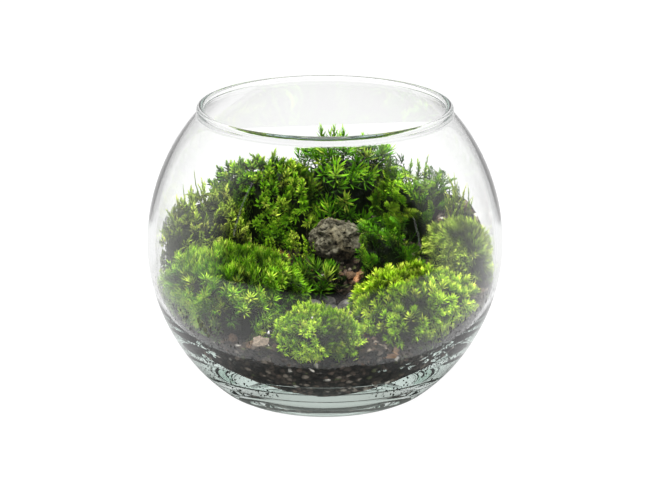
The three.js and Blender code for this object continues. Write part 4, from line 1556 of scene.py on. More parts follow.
    def fronds(self, count: int, habit: FrondHabit, lowest: float = 1.4) -> None:
        """Adds fronds that lie along the core's slope and arch off it.

        Args:
            count: How many are tried.
            habit: How they grow.
            lowest: The tilt of the lowest.
        """
        point, normal = self.spots(count, lowest)
        n = len(point)
        level = unit(np.cross(UP, normal) + 1e-6)
        climb = np.cross(normal, level)
        turn = habit.wander * (self.rng.random((n, 1)) - 0.5)
        course = climb * np.cos(turn) + level * np.sin(turn)
        run = (habit.length * (0.65 + 0.6 * self.rng.random(n)))[:, None]
        arch = habit.rise * (0.6 + 0.8 * self.rng.random((n, 1)))
        foot = point - 1.0 * normal
        bend = foot + course * 0.4 * run + normal * arch * run
        hang = UP * (habit.droop * self.rng.random((n, 1)) * run)
        tip = foot + course * 0.85 * run + normal * 0.85 * arch * run - hang
        main = Stems(foot, bend, tip)
        tone = self.rng.random(n)
        # Painted shade: fronds in some patches are painted darker.
        shade = np.clip(habit.light + 0.7 * lattice_noise(point / 6.0, self.seed + 3), 0.15, 1.1)
        self.parts.append(main.tubes(0.32, tone))
        scales = LeafHabit(14, habit.leaf, 0.5 * habit.leaf, 0.15, (0.85, 0.35), 0.12)
        self.parts.append(main.leaves(scales, self.rng, tone, shade))
        self.add_branches(main, habit, normal, tone, shade)

    def add_branches(self, main: Stems, habit: FrondHabit, normal: Array, tone: Array, shade: Array) -> None:
        """Adds two rows of side branches to fronds, longest a little below the middle of each.

        Args:
            main: The fronds' stems.
            habit: How the fronds grow.
            normal: The core's outward direction at each.
            tone: One value for each.
            shade: How light each is painted, as painted shade.
        """
        n, m = len(tone), habit.branches
        s = (0.14 + 0.84 * (np.arange(m) + 0.5) / m) + 0.02 * (self.rng.random((n, m)) - 0.5)
        root, direction = main.place(s), main.tangent(s)
        face = unit(normal + 0.35 * (self.rng.random((n, 3)) - 0.5))[:, None] + np.zeros(direction.shape)
        side = unit(np.cross(direction, face))
        over = np.cross(side, direction)
        sign = np.where(np.arange(m) % 2 == 0, 1.0, -1.0)[:, None]
        swell = np.sin(np.pi * np.clip(0.14 + 0.84 * s, 0, 1)) ** 0.7
        reach = (habit.width / 2) * swell * (0.8 + 0.4 * self.rng.random((n, m)))
        out = unit(side * sign * 0.85 + direction * 0.62 + 0.3 * (self.rng.random((n, m, 3)) - 0.5))
        root, out, over = (a.reshape(-1, 3) for a in (root, out, unit(over + 0.2 * side * sign)))
        branch_tone = np.clip(np.repeat(tone, m) + 0.2 * (self.rng.random(n * m) - 0.5), 0, 1)
        if habit.scaly:
            long = reach.reshape(-1, 1)
            end = root + out * long - 0.15 * over * long
            middle = root + out * 0.5 * long + 0.08 * over * long
            scales = LeafHabit(7, 0.85 * habit.leaf, 0.5 * habit.leaf, 0.08, (0.8, 0.3), 0.1)
            twigs = Stems(root, middle, end)
            self.parts.append(twigs.leaves(scales, self.rng, branch_tone, np.repeat(shade, m)))
            return
        wide = np.full(n * m, 0.5)
        facing = unit(np.cross(np.cross(out, over), out))
        ripe_and_shade = (0.7 + 0.3 * s.ravel()) * np.repeat(np.minimum(shade, 1), m)
        start = np.minimum((0.15 + 0.3 * s).ravel(), 0.6 * ripe_and_shade)
        leaflets = LeafSet(root, out, facing, reach.ravel(), wide, -0.16, start, ripe_and_shade, branch_tone)
        self.parts.append(leaflets.surface(LeafForm.ARCHED))

    def stalks(
        self, count: int, tall: float, habit: LeafHabit, lowest: float = 0.9, splay: float = 0.35
    ) -> None:
        """Adds thin upright stalks with leaves close to them.

        Args:
            count: How many are tried.
            tall: Their height.
            habit: How their leaves sit.
            lowest: The tilt of the lowest.
            splay: How far they lean out.
        """
        point, normal = self.spots(count, lowest)
        n = len(point)
        height = tall * (0.6 + 0.7 * self.rng.random(n))
        wander = self.rng.random((n, 3)) - 0.5
        axis = unit(UP + splay * normal + 0.5 * wander)
        foot = point - 1.0 * normal
        tip = foot + axis * height[:, None]
        bend = foot + UP * (0.55 * height)[:, None] - 1.5 * wander
        stems = Stems(foot, bend, tip)
        tone = self.rng.random(n)
        self.parts.append(stems.tubes(0.35, tone))
        self.parts.append(stems.leaves(habit, self.rng, tone))

    def single_stems(self, tips: Array, fall: Triple, bow: Triple, thick: float) -> Stems:
        """Adds the stems that stand out one by one against the glass.

        Args:
            tips: The tip of each.
            fall: The way from a tip to its foot.
            bow: How far a stem bends off the straight.
            thick: Half its width at the foot.

        Returns:
            The stems, for leaves to be set on.
        """
        feet = tips + np.array(fall)
        stems = Stems(feet, (feet + tips) / 2 + np.array(bow), tips)
        self.parts.append(stems.tubes(thick, np.full(len(tips), 0.5)))
        return stems

    def build(self, name: str, material: Material) -> None:
        """Makes the clump one piece, kept inside the glass, in place of its solid.

        Args:
            name: The piece's name.
            material: Its finish.
        """
        whole = joined(self.parts)
        whole.points = self.kept_inside(whole.points, 0.0, self.overlap)
        ground = self.ground.height(whole.points[:, 0], whole.points[:, 1])
        whole.points[:, 2] = np.maximum(whole.points[:, 2], ground - 1.5)
        add_piece(name, whole, material, (self.node,))


@dataclass
class Planting:
    """All the moss in the bowl."""

    ground: Ground

    def __post_init__(self) -> None:
        """Makes each leaf finish once."""
        self.materials = {palette: palette.value.material() for palette in Palette}

    def clump(self, node: str, finish: Palette, slot: Slot, seed: int, **options: float) -> Clump:
        """Starts a clump with its core.

        Args:
            node: The solid that it stands for.
            finish: Its leaves' finish.
            slot: Its material slot, which is not used.
            seed: The seed of its draws.
            **options: Values of the clump's own sizes.

        Returns:
            The clump.
        """
        made = Clump(node, self.ground, finish, slot, seed, **options)
        made.add_core()
        return made

    def finish(self, clump: Clump, name: str) -> None:
        """Makes a clump's piece in its leaf finish."""
        clump.build(name, self.materials[clump.finish])

    def front_cushions(self) -> None:
        """The three cushions along the front glass."""
        mid, bright, fresh = Slot.MID_GREEN_MOSS, Slot.BRIGHT_MOSS, Palette.FRESH_GREEN
        left = self.clump("cushion_moss_front_left", Palette.MID_GREEN, mid, 11, inset=8)
        needles = LeafHabit(28, 5.4, 0.55, 0.4, (1.0, 0.08), 0.05)
        left.shoots(430, 6.4, needles, lowest=1.1, uneven=0.6, gather=1.1, light=0.75, outward=0.4)
        rosettes = LeafHabit(20, 4.8, 0.85, 0.8, (1.55, 0.5), 0.1)
        left.shoots(340, 7.5, rosettes, up=0.1, uneven=0.1, gather=0.4, highest=0.65, outward=0.4)
        self.finish(left, "needle_cushion_front_left")
        right = self.clump("cushion_moss_front_right", Palette.BRIGHT_GREEN, bright, 12, inset=7)
        curls = LeafHabit(30, 3.9, 0.8, 0.55, (1.45, 0.15), 0.16)
        right.shoots(460, 6.0, curls, up=0.3, outward=0.4)
        self.finish(right, "curly_cushion_front_right")
        centre = self.clump("cushion_moss_front_centre", fresh, bright, 13, inset=6.5, lumps=0.1)
        small_leaves = LeafHabit(26, 3.0, 0.66, 0.45, (1.35, 0.25), 0.12)
        centre.shoots(400, 4.6, small_leaves, up=0.25, uneven=0.6, gather=1.0)
        self.finish(centre, "small_leaved_cushion_front_centre")

    def centre_tufts(self) -> None:
        """The star tuft before the stone and the feathery sprigs at its sides."""
        mid, bright, low = Slot.MID_GREEN_MOSS, Slot.BRIGHT_MOSS, {"inset": 3, "core_share": 0.66}
        star = self.clump("star_moss_centre", Palette.DEEP_GREEN, mid, 16, inset=3, core_share=0.6)
        stars = LeafHabit(28, 7.2, 1.05, 0.35, (1.35, 0.25), 0.12, LeafForm.ARCHED)
        star.shoots(28, 10, stars, up=0.3, lowest=1.35, light=0.5)
        self.finish(star, "star_tuft_centre")
        left = self.clump("feather_moss_centre_left", Palette.FRESH_GREEN, bright, 21, core_rise=0.7, **low)
        left.fronds(44, FrondHabit(18, 6.0, 20, leaf=1.7, droop=0.4, rise=0.9, light=0.65))
        left.shoots(80, 3.5, LeafHabit(16, 2.4, 0.7, 0.3, (1.3, 0.3), 0.1), up=0.3)
        self.finish(left, "feather_sprigs_left")
        right = self.clump("feather_moss_centre_right", Palette.DEEP_GREEN, mid, 22, **low)
        right.fronds(44, FrondHabit(18, 8.0, 30, scaly=False, droop=0.3, rise=0.8, light=0.45))
        right.shoots(110, 4.0, LeafHabit(16, 2.8, 0.7, 0.3, (1.3, 0.3), 0.1), up=0.3, light=0.5)
        self.finish(right, "feather_sprigs_right")

    def back_banks(self) -> None:
        """The mound and the high banks at the back and the sides."""
        mid, olive = Slot.MID_GREEN_MOSS, Slot.OLIVE_MOSS
        mound = self.clump("mound_moss_back_left", Palette.MID_GREEN, mid, 15, core_rise=0.9)
        round_leaves = LeafHabit(28, 4.2, 1.3, 0.35, (1.3, 0.25), 0.15)
        mound.shoots(420, 8.0, round_leaves, up=0.15, uneven=0.6, gather=0.9)
        self.finish(mound, "leafy_mound_back_left")
        self.star_bank()
        left = self.clump("fern_moss_bank_left", Palette.OLIVE, olive, 18, inset=3.5, core_rise=0.87)
        left.fronds(80, FrondHabit(12, 6.0, 18, leaf=1.7), lowest=1.5)
        left.shoots(170, 8.0, LeafHabit(30, 3.0, 0.9, 0.3, (1.2, 0.3), 0.15), up=0.5, uneven=0.5)
        left.stalks(24, 12, LeafHabit(30, 2.7, 0.9, 0.15, (1.0, 0.35), 0.15), lowest=1.2, splay=0.7)
        tips = np.array([[-75.0, 25, 97.4], [-69.3, 32, 102.8]])
        left.single_stems(tips, (3.0, 0, -16.0), (-2.0, 0, 0), 0.45)
        self.finish(left, "fern_bank_left")
        right = self.clump("fern_moss_bank_right", Palette.MID_GREEN, mid, 19, inset=6, core_rise=0.9)
        right.fronds(80, FrondHabit(17, 8.0, 34, scaly=False, rise=0.7))
        right.stalks(45, 13, LeafHabit(26, 3.0, 0.9, 0.2, (1.1, 0.4), 0.15), lowest=0.9, splay=0.7)
        self.finish(right, "fern_bank_right")

    def star_bank(self) -> None:
        """The bank of star-shaped shoots at the back, with a few tall ones."""
        back = self.clump("star_moss_bank_back", Palette.DEEP_GREEN, Slot.DEEP_GREEN_MOSS, 17)
        stars = LeafHabit(22, 7.8, 1.2, 0.4, (1.4, 0.35), 0.1, LeafForm.ARCHED)
        back.shoots(170, 12.0, stars, up=0.35, uneven=0.5, gather=0.8)
        tips = np.array([[-2.1, 60, 119], [4.8, 62, 118.5], [9.5, 60, 118], [20.0, 60, 115], [30.0, 57, 112]])
        tall = back.single_stems(tips, (0, 0, -22.0), (0.8, 0, 2), 0.4)
        tall_stars = LeafHabit(40, 5.5, 0.9, 0.3, (1.2, 0.3), 0.1, LeafForm.ARCHED)
        back.parts.append(tall.leaves(tall_stars, back.rng, np.full(len(tips), 0.6)))
        self.finish(back, "star_bank_back")

    def right_side(self) -> None:
        """The fine dome and the wisps at the right."""
        olive = Slot.OLIVE_MOSS
        dome = self.clump("fine_moss_dome_right", Palette.PALE_GREEN, olive, 14, inset=5)
        hairs = LeafHabit(34, 4.4, 0.38, 0.2, (1.2, 0.15), 0.3)
        dome.shoots(420, 5.0, hairs, up=0.3, uneven=0.2)
        self.finish(dome, "hair_dome_right")
        wisps = self.clump(
            "wispy_moss_right", Palette.OLIVE, olive, 20, inset=3, core_share=0.8, core_rise=0.85
        )
        wisps.stalks(130, 15, LeafHabit(24, 2.2, 0.7, 0.15, (0.7, 0.3), 0.1), lowest=1.3)
        self.finish(wisps, "wispy_shoots_right")

    def build(self) -> None:
        """Makes every clump."""
        self.front_cushions()
        self.centre_tufts()
        self.back_banks()
        self.right_side()


# Stones and litter


@dataclass(frozen=True)
class Rock:
    """A stone: a ball with flats on it, pushed in and out by waves, as its solid is, and then roughened.

    The size is its half widths and half height, and sink the share of the half height that is in the soil.
    Level says how fine its ball is, grain how rough it is, and a cut is a flat's direction and distance.
    """

    node: str
    at: Pair
    size: Triple
    roughness: float
    sink: float
    seed: int
    flats: int = 0
    level: int = 5
    grain: float = 0.5
    cuts: tuple[tuple[float, float, float, float], ...] = ()
    waves: int = 7

    def surface(self, ground: Ground) -> Surface:
        """The stone's skin.

        Args:
            ground: The ground that it is sunk in.

        Returns:
            The surface: direction times the nearest flat's distance plus the waves, with noise along it.
        """
        draws = iter(even_draws(self.seed, 4 * self.waves + 2 * self.flats))
        ball, faces = unit_ball(self.level)
        bump = np.zeros(len(ball))
        for i in range(self.waves):
            axis = unit(np.array([next(draws) - 0.5 for _ in range(3)]))
            phase = next(draws) * 6
            bump += self.roughness / (1 + 0.55 * i) * np.sin((2.2 + 1.5 * i) * (ball @ axis) + phase)
        radius = np.ones(len(ball))
        for i in range(self.flats):
            height = 0.95 - 1.5 * (i + 0.5) / self.flats
            turn = i * GOLDEN_ANGLE + next(draws)
            flat = math.sqrt(1 - height * height)
            normal = np.array([flat * math.cos(turn), flat * math.sin(turn), height])
            radius = np.minimum(radius, (0.76 + 0.16 * next(draws)) / np.maximum(0.01, ball @ normal))
        for x, y, z, depth in self.cuts:
            radius = np.minimum(radius, depth / np.maximum(0.01, ball @ unit(np.array([x, y, z]))))
        soil = float(ground.height(np.array(self.at[0]), np.array(self.at[1])))
        centre = np.array([*self.at, soil + self.size[2] * (1 - self.sink)])
        points = ball * (radius + bump)[:, None] * np.array(self.size)
        coarse = rough(points + self.seed, 3.4, 4, self.seed + 2)
        pits = np.minimum(0, lattice_noise(points * 0.8 + 40, self.seed + 4) + 0.25)
        relief = self.grain * (0.7 * coarse + 1.2 * pits)
        skin = points + ball * relief[:, None] + centre
        # The along value is the relief, which the finish paints as light and shade.
        return Surface(skin, faces, np.clip(0.5 + 0.5 * relief / self.grain, 0, 1), np.full(len(ball), 0.5))


@dataclass(frozen=True)
class Stones:
    """The feature stone and the pebbles in the clearing."""

    ground: Ground
    feature: Rock = Rock(
        "feature_stone",
        at=(5.8, 23),
        size=(15.0, 10, 10.5),
        roughness=0.045,
        sink=0.16,
        seed=31,
        flats=11,
        level=6,
        grain=1.0,
        cuts=(
            (-0.3, -0.3, 0.92, 0.78),
            (0.25, 0.1, 0.95, 0.8),
            (-0.75, -0.6, 0.25, 0.84),
            (0.6, -0.75, 0.1, 0.84),
        ),
    )
    pebbles: tuple[tuple[Pair, Triple], ...] = (
        ((1, -11.5), (4.6, 3, 2.4)),
        ((11.5, -15.5), (5, 3.4, 2.4)),
        ((-6, -17), (4.4, 3.4, 2.2)),
        ((3, -22), (4.8, 3.8, 2.6)),
        ((14.5, -7), (3.6, 2.8, 2)),
        ((-6, -30), (4.2, 3.2, 2.4)),
    )
    pebble_seed: int = 41

    def build(self) -> None:
        """Makes the feature stone and the six pebbles."""
        rough_stone = WeatheredStone(
            "rough_stone",
            dark=(0.004, 0.004, 0.003),
            middle=(0.035, 0.032, 0.021),
            pale=(0.155, 0.146, 0.103),
            stain=(0.95, 0.8, 0.55),
        ).material()
        skin = self.feature.surface(self.ground)
        add_piece("rough_feature_stone", skin, rough_stone, ("feature_stone",), True)
        dark = WeatheredStone(
            "dark_pebble",
            dark=(0.005, 0.005, 0.005),
            middle=(0.02, 0.019, 0.017),
            pale=(0.1, 0.096, 0.088),
            stain=(0.9, 0.85, 0.75),
            scale=900.0,
            roughness=0.3,
        ).material()
        worn = {"roughness": 0.035, "sink": 0.3, "level": 3, "grain": 0.16}
        for i, (at, size) in enumerate(self.pebbles):
            pebble = Rock(f"pebble_{i + 1}", at, size, seed=self.pebble_seed + i, **worn)
            skin = pebble.surface(self.ground)
            add_piece(f"clearing_pebble_{i + 1}", skin, dark, (pebble.node,), True)


@dataclass(frozen=True)
class BarkFlakes:
    """Flakes of bark on the soil: thin slabs with a bowed, ridged face.

    Each flake is given by its middle, across and towards the back, its length, its width and its direction.
    """

    ground: Ground
    flakes: tuple[tuple[float, float, float, float, float], ...] = (
        (-19.5, 4.5, 7, 3.6, 1.9),
        (15.5, 8, 6.5, 4.4, 0.5),
    )
    rows: int = 40
    columns: int = 32
    seed: int = 51

    def surface(self, x: float, y: float, length: float, width: float, turn: float, seed: int) -> Surface:
        """One flake: a closed loop of points across, carried along its length and bowed up in the middle.

        Args:
            x: Its middle across.
            y: Its middle towards the back.
            length: Its length.
            width: Its width.
            turn: Its direction.
            seed: The seed of its draws.

        Returns:
            The surface.
        """
        share = np.linspace(-0.5, 0.5, self.rows)[:, None]
        phi = turns(self.columns)
        across = (width / 2) * (1 - 1.5 * share**2) * np.cos(phi)
        height = 1.2 + 1.2 * np.sin(phi) * (1 - 2.5 * share**2)
        lx = x + np.cos(turn) * length * share - np.sin(turn) * across
        ly = y + np.sin(turn) * length * share + np.cos(turn) * across
        points = np.stack([lx, ly, self.ground.height(lx, ly) + height - 0.6], -1).reshape(-1, 3)
        wave = np.sin(9 * across.ravel() + 2 * lattice_noise(points / 2, seed))
        ridges = 0.25 * wave + 0.3 * rough(points, 1.5, 3, seed)
        points[:, 2] += ridges * (np.sin(np.tile(phi, self.rows)) > 0)
        grid = points.reshape(self.rows, self.columns, 3)
        body = closed_rings(grid, grid[0].mean(0), grid[-1].mean(0))
        # The along value is the ridges' height, which the finish paints as light and shade.
        body.along = np.append(np.clip(0.5 + ridges, 0, 1), [0.5, 0.5])
        return body

    def build(self) -> None:
        """Makes the flakes."""
        bark = WeatheredStone(
            "reddish_bark",
            dark=(0.03, 0.012, 0.006),
            middle=(0.2, 0.085, 0.035),
            pale=(0.45, 0.27, 0.14),
            stain=(0.9, 0.6, 0.4),
            scale=900.0,
        ).material()
        for i, flake in enumerate(self.flakes):
            slab = self.surface(*flake, seed=self.seed + i)
            add_piece(f"curled_bark_flake_{i + 1}", slab, bark, (f"bark_flake_{i + 1}",), True)


class Kind(Enum):
    """The kinds of loose bits, each by its tone, which picks its colour from the litter's."""

    RED_BARK = 0.05
    TAN_BARK = 0.25
    BROWN_CHIP = 0.45
    PALE_CHIP = 0.65
    PERLITE = 0.85
    DIRT = 0.94
    SCRAP = 0.98


@dataclass(frozen=True)
class Bit:
    """One loose bit: its middle, its half widths and its kind."""

    at: Triple
    half: Triple
    kind: Kind


@dataclass
class Litter:
    """Loose bits on the soil and against the glass, and the dirt that dried on the inside of the wall.

    The listed bits are seen one by one, and the strewn kinds are taken in turn. The dirt's turn is how far
    from the front it starts and how far it reaches, in radians, and its band is its lowest height and rise.
    """

    ground: Ground
    seed: int = 71
    strewn: int = 260
    strewn_half: float = 1.3
    strewn_kinds: tuple[Kind, ...] = (
        Kind.BROWN_CHIP,
        Kind.RED_BARK,
        Kind.BROWN_CHIP,
        Kind.TAN_BARK,
        Kind.PALE_CHIP,
        Kind.BROWN_CHIP,
    )
    specks: int = 1500
    dirt_turn: Pair = (0.35, 1.1)
    dirt_band: Pair = (17.0, 46.0)
    colours: tuple[Stop, ...] = (
        (0.0, (0.085, 0.028, 0.011)),
        (0.15, (0.26, 0.15, 0.075)),
        (0.35, (0.11, 0.07, 0.042)),
        (0.55, (0.2, 0.16, 0.12)),
        (0.75, (0.75, 0.74, 0.7)),
        (0.92, (0.02, 0.018, 0.012)),
        (0.96, (0.07, 0.085, 0.02)),
    )
    bits: tuple[Bit, ...] = (
        Bit((-32, 12, 65.5), (3.4, 2.4, 1.6), Kind.RED_BARK),
        Bit((-28, 10, 65), (2.8, 2.4, 1.8), Kind.RED_BARK),
        Bit((-24, 9, 64), (2.8, 1.8, 2.0), Kind.RED_BARK),
        Bit((-20, 8, 62), (3.0, 2.2, 2.8), Kind.RED_BARK),
        Bit((-17, 3, 56.5), (2.2, 1.6, 3.0), Kind.TAN_BARK),
        Bit((-15.5, -1, 52), (2.8, 1.6, 1.6), Kind.TAN_BARK),
        Bit((13, 8.2, 54), (3.2, 2.2, 1.8), Kind.BROWN_CHIP),
        Bit((19.8, 8.7, 55.2), (3.0, 2.2, 1.8), Kind.TAN_BARK),
        Bit((-7.5, -29.3, 47), (1.1, 0.9, 0.9), Kind.PERLITE),
        Bit((-31, -71, 47), (4.8, 2.4, 3.4), Kind.PALE_CHIP),
        Bit((-35, -68, 44), (3.4, 2.4, 3.4), Kind.BROWN_CHIP),
        Bit((-44, -62, 46), (3.0, 2.0, 2.6), Kind.BROWN_CHIP),
        Bit((27, -72, 42.5), (6.0, 2.6, 2.8), Kind.TAN_BARK),
        Bit((18, -74, 40.5), (3.6, 2.4, 3.0), Kind.BROWN_CHIP),
        Bit((34, -68, 42), (3.0, 2.0, 2.4), Kind.BROWN_CHIP),
        Bit((-26.5, -79.2, 55.8), (0.6, 0.6, 0.7), Kind.PERLITE),
        Bit((-6, -82.5, 64.5), (0.4, 0.4, 0.5), Kind.PERLITE),
        Bit((-60.5, -59.6, 55), (1.1, 0.5, 1.5), Kind.SCRAP),
        Bit((-58.8, -60.2, 52.8), (1.5, 0.6, 1.6), Kind.SCRAP),
        Bit((-57.0, -60.8, 50.6), (1.6, 0.6, 1.6), Kind.SCRAP),
        Bit((-55.2, -61.0, 48.2), (1.3, 0.6, 1.5), Kind.SCRAP),
    )

    def __post_init__(self) -> None:
        """Starts the draws."""
        self.rng = np.random.default_rng(self.seed)

    def scattered(self) -> Surface:
        """Chips strewn evenly over the open soil: the radius goes as the root of a draw.

        Returns:
            The chips.
        """
        rng, count = self.rng, self.strewn
        phi = 2 * np.pi * rng.random(count)
        edge = self.ground.edge(phi)[0] - 3
        radius = edge * np.sqrt(rng.random(count))
        x, y = radius * np.cos(phi), radius * np.sin(phi)
        size = self.strewn_half * (0.5 + rng.random((count, 1)) ** 2 * 1.4)
        centres = np.stack([x, y, self.ground.height(x, y) + 0.3 * size[:, 0]], -1)
        halves = size * (0.5 + 0.8 * rng.random((count, 3))) * [1.2, 0.9, 0.6]
        chips = self.ground.lumps(centres, halves, rng)
        tones = [kind.value for kind in self.strewn_kinds]
        chips.tone = np.repeat(np.resize(tones, count), len(chips.points) // count)
        return chips

    def wall_dirt(self) -> Surface:
        """Specks and short runs of dirt that touch the inner wall low at both sides and dot the front.

        Returns:
            The specks, most of them near the lowest height and the least turn.
        """
        rng, count = self.rng, self.specks
        side = np.where(rng.random(count) < 0.55, 1.0, -1.0)
        nearest, reach = self.dirt_turn
        phi = -np.pi / 2 - side * (nearest + reach * rng.random(count) ** 0.8)
        low, tall = self.dirt_band
        z = low + tall * rng.random(count) ** 1.15 * (0.55 + 0.45 * np.abs(np.cos(phi)))
        size = 0.2 + 0.45 * rng.random(count) ** 2.5
        centres = around(self.ground.bowl.cavity_radius(z), phi, z)
        level = np.full(count, 0.8)
        half = size[:, None] * np.stack([level, level, 1 + 1.6 * rng.random(count)], -1)
        specks = self.ground.lumps(centres, half, rng)
        specks.tone = np.full(len(specks.points), Kind.DIRT.value)
        return specks

    def build(self) -> None:
        """Makes the bits, the strewn chips and the wall's dirt."""
        finish = Grit("loose_litter", self.colours, roughness=0.75).material()
        centres = np.array([bit.at for bit in self.bits])
        halves = np.array([bit.half for bit in self.bits])
        listed = self.ground.lumps(centres, halves, self.rng, 1)
        listed.tone = np.repeat([bit.kind.value for bit in self.bits], len(listed.points) // len(self.bits))
        litter = joined([listed, self.scattered()])
        add_piece("bark_and_perlite_litter", litter, finish)
        add_piece("dirt_on_inner_wall", self.wall_dirt(), finish)


# The studio


@dataclass(frozen=True)
class Lamp:
    """A soft lamp: its place, its width and height in metres, and its power in watts.

    One that is only mirrored shows in the glass. Any other lights the object and isn't seen.
    """

    name: str
    place: Triple
    size: Pair
    watts: float
    only_mirrored: bool = False
    aim: Triple = (0.0, 0.0, 0.07)

    def hang(self) -> None:
        """Hangs the lamp so that it faces the bowl."""
        data = bpy.data.lights.new(self.name, "AREA")
        data.shape = "RECTANGLE"
        data.size, data.size_y = self.size
        data.energy = self.watts
        lamp = in_scene(self.name, data)
        lamp.location = self.place
        x, y, z = np.array(self.aim) - np.array(self.place)
        lamp.rotation_euler = (math.atan2(math.hypot(x, y), -z), 0, math.atan2(y, x) - math.pi / 2)
        lamp.visible_glossy = self.only_mirrored
        lamp.visible_diffuse = not self.only_mirrored
        lamp.visible_transmission = False


@dataclass(frozen=True)
class Floor:
    """A round white floor that glows as a light table does, with places in metres.

    It is dark where the foot touches it, a painted contact shadow. Where the glass mirrors it, it is dimmer
    and tinted near the bowl, a painted shadow and tint seen only in reflections, and fades to the front.
    Each stop is a distance from the middle, as a share of its span, and a brightness.
    """

    radius: float = 0.46
    middle: Pair = (0.05, 0.03)
    drop: float = 0.0002
    corners: int = 128
    paint: Colour = (0.1, 0.1, 0.1)
    roughness: float = 0.9
    glow: float = 0.98
    contact_span: float = 0.1
    contact: tuple[Pair, ...] = ((0.0, 1.0), (0.39, 1.0), (0.42, 0.04), (0.46, 0.04), (0.485, 1.0))
    mirrored_span: float = 0.2
    mirrored_stretch: Triple = (1.6, 1.2, 0.0)
    mirrored_shift: Triple = (0.0, 0.02, 0.0)
    mirrored: tuple[Pair, ...] = ((0.25, 0.62), (0.4, 0.12), (0.5, 0.16), (0.75, 1.0))
    mirrored_through: tuple[Pair, ...] = ((0.25, 0.62), (0.42, 1.0))
    front_fade: Pair = (-0.37, -0.18)
    mirrored_glow: float = 0.95
    tint: Colour = (0.94, 1.03, 0.97)
    tinted_to: Pair = (0.6, 0.4)

    def tinted(self, stops: tuple[Pair, ...], up_to: float) -> list[Stop]:
        """Stops as colours: each brightness times the tint up to a place, and times white past it."""
        return [(at, tuple(value * c for c in (self.tint if at < up_to else WHITE))) for at, value in stops]

    def material(self) -> Material:
        """Makes its glow and what the glass mirrors of it.

        Returns:
            The material.
        """
        tree = NodeTree("pale_floor")
        place = tree.place
        # Painted contact shadow: the glow is dark in a ring under the foot.
        touch = tree.math("MULTIPLY", tree.vector("LENGTH", {0: place}, "Value"), 1 / self.contact_span)
        shadow = tree.ramp(touch, [(at, (value,) * 3) for at, value in self.contact])
        matt = tree.node(
            "ShaderNodeBsdfPrincipled",
            {
                "Base Color": (*self.paint, 1),
                "Roughness": self.roughness,
                "Emission Color": shadow,
                "Emission Strength": self.glow,
            },
        )
        # Painted shadow of the bowl, seen only where the glass mirrors the floor: dimmer and tinted near the
        # bowl.
        wide = tree.vector("MULTIPLY_ADD", {0: place, 1: self.mirrored_stretch, 2: self.mirrored_shift})
        apart = tree.math("MULTIPLY", tree.vector("LENGTH", {0: wide}, "Value"), 1 / self.mirrored_span)
        both = zip((self.mirrored, self.mirrored_through), self.tinted_to)
        first, beneath = (tree.ramp(apart, self.tinted(stops, up_to)) for stops, up_to in both)
        back = tree.node("ShaderNodeSeparateXYZ", {0: place}).outputs["Y"]
        far = tree.mapped(back, *self.front_fade, 0.0, self.mirrored_glow)
        seen = {"Color": tree.mixed(tree.bounced("Transmission"), first, beneath), "Strength": far}
        mirrored = tree.node("ShaderNodeEmission", seen)
        return tree.finished(tree.blended(tree.bounced("Glossy"), matt.outputs[0], mirrored.outputs[0]))

    def build(self) -> None:
        """Lays the floor, a fifth of a millimetre under the foot."""
        phi = turns(self.corners)
        x, y = self.middle
        across, deep = x + self.radius * np.cos(phi), y + self.radius * np.sin(phi)
        points = np.stack([across, deep, np.full(self.corners, -self.drop)], -1)
        mesh = bpy.data.meshes.new("pale_floor")
        mesh.from_pydata(points.tolist(), [], [list(range(self.corners))])
        mesh.materials.append(self.material())
        in_scene("pale_floor", mesh)


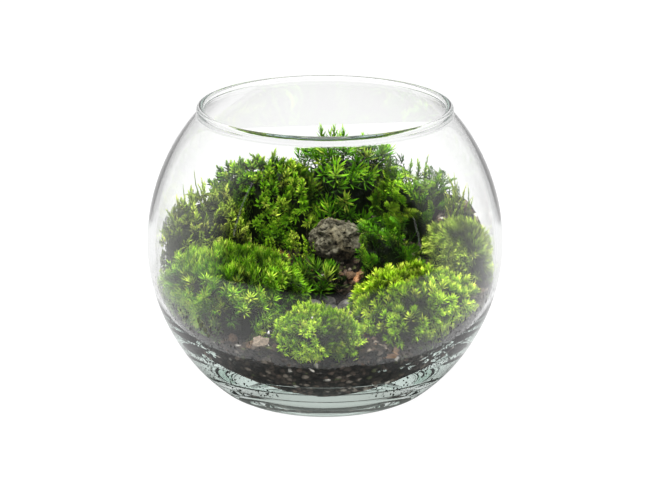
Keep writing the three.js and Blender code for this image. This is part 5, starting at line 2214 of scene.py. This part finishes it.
@dataclass(frozen=True)
class Studio:
    """The floor, the lamps, the room around them and the photograph's camera, with places in metres."""

    distance: float = 1.1
    elevation: float = math.radians(17.75)
    lens: float = 120.0
    sensor: float = 36.0
    target_height: float = 0.0748
    camera_height: float = 0.0754
    room_edge: Pair = (-0.42, -0.12)
    room_glow: Pair = (0.03, 1.08)
    room_grey: float = 0.8
    mirrored_again: float = 0.8
    backdrop: float = 1.03
    ambient: float = 0.18
    bounces: int = 28
    bounces_through: int = 20
    bounces_mirrored: int = 16
    lamps: tuple[Lamp, ...] = (
        Lamp("overhead_softbox", (0.04, -0.2, 0.95), (0.4, 0.4), 29.0),
        Lamp("front_softbox", (-0.35, -0.85, 0.7), (0.6, 0.6), 6.3),
        Lamp("left_strip", (-0.68, -0.42, 0.42), (0.022, 0.42), 0.04, True),
        Lamp("right_strip", (0.69, -0.41, 0.24), (0.022, 0.22), 0.016, True),
    )

    def camera(self) -> None:
        """Puts the camera where the photograph was taken from."""
        data = bpy.data.cameras.new("photo_camera")
        data.lens = self.lens
        data.sensor_width = self.sensor
        camera = in_scene("photo_camera", data)
        away = self.distance * math.cos(self.elevation)
        above = self.camera_height + self.distance * math.sin(self.elevation)
        camera.location = (0, -away, above)
        camera.rotation_euler = (math.pi / 2 - math.atan2(above - self.target_height, away), 0, 0)
        bpy.context.scene.camera = camera

    def surroundings(self) -> None:
        """A white backdrop, a little light from all round, and a room to be mirrored that is dark in front.

        What is mirrored more than once is at least as bright as mirrored_again says.
        """
        tree = NodeTree("studio", world=True)
        direction = tree.node("ShaderNodeTexCoord").outputs["Generated"]
        back = tree.node("ShaderNodeSeparateXYZ", {0: direction}).outputs["Y"]
        room = tree.mapped(back, *self.room_edge, *self.room_glow)
        often = tree.math("MULTIPLY", tree.bounced("Glossy", 1.5), self.mirrored_again)
        room = tree.math("MAXIMUM", room, often)
        glows = ((1.0, self.backdrop), (self.room_grey, room), (1.0, self.ambient))
        inputs = [{"Color": (grey, grey, grey, 1), "Strength": strength} for grey, strength in glows]
        white, mirrored, ambient = (tree.node("ShaderNodeBackground", each).outputs[0] for each in inputs)
        seen = tree.blended(tree.bounced("Glossy"), white, mirrored)
        tree.node("ShaderNodeOutputWorld", {"Surface": tree.blended(tree.bounced("Diffuse"), seen, ambient)})
        bpy.context.scene.world = tree.owner

    def build(self) -> None:
        """Sets up the whole studio. The thick glass needs the many bounces of light."""
        self.camera()
        Floor().build()
        for lamp in self.lamps:
            lamp.hang()
        self.surroundings()
        scene = bpy.context.scene
        scene.view_settings.view_transform = "Standard"
        scene.cycles.max_bounces = self.bounces
        scene.cycles.transmission_bounces = self.bounces_through
        scene.cycles.glossy_bounces = self.bounces_mirrored


def write_sizes() -> None:
    """Updates the view layer."""
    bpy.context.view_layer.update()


def main() -> None:
    """Builds the studio, the bowl, the ground, the planting, the stones, the bark and the litter."""
    logging.basicConfig(level=logging.INFO, format="%(message)s")
    Studio().build()
    bowl = Bowl()
    bowl.build()
    ground = Ground(bowl)
    ground.build()
    Planting(ground).build()
    Stones(ground).build()
    BarkFlakes(ground).build()
    Litter(ground).build()
    write_sizes()


if __name__ == "__main__":
    main()
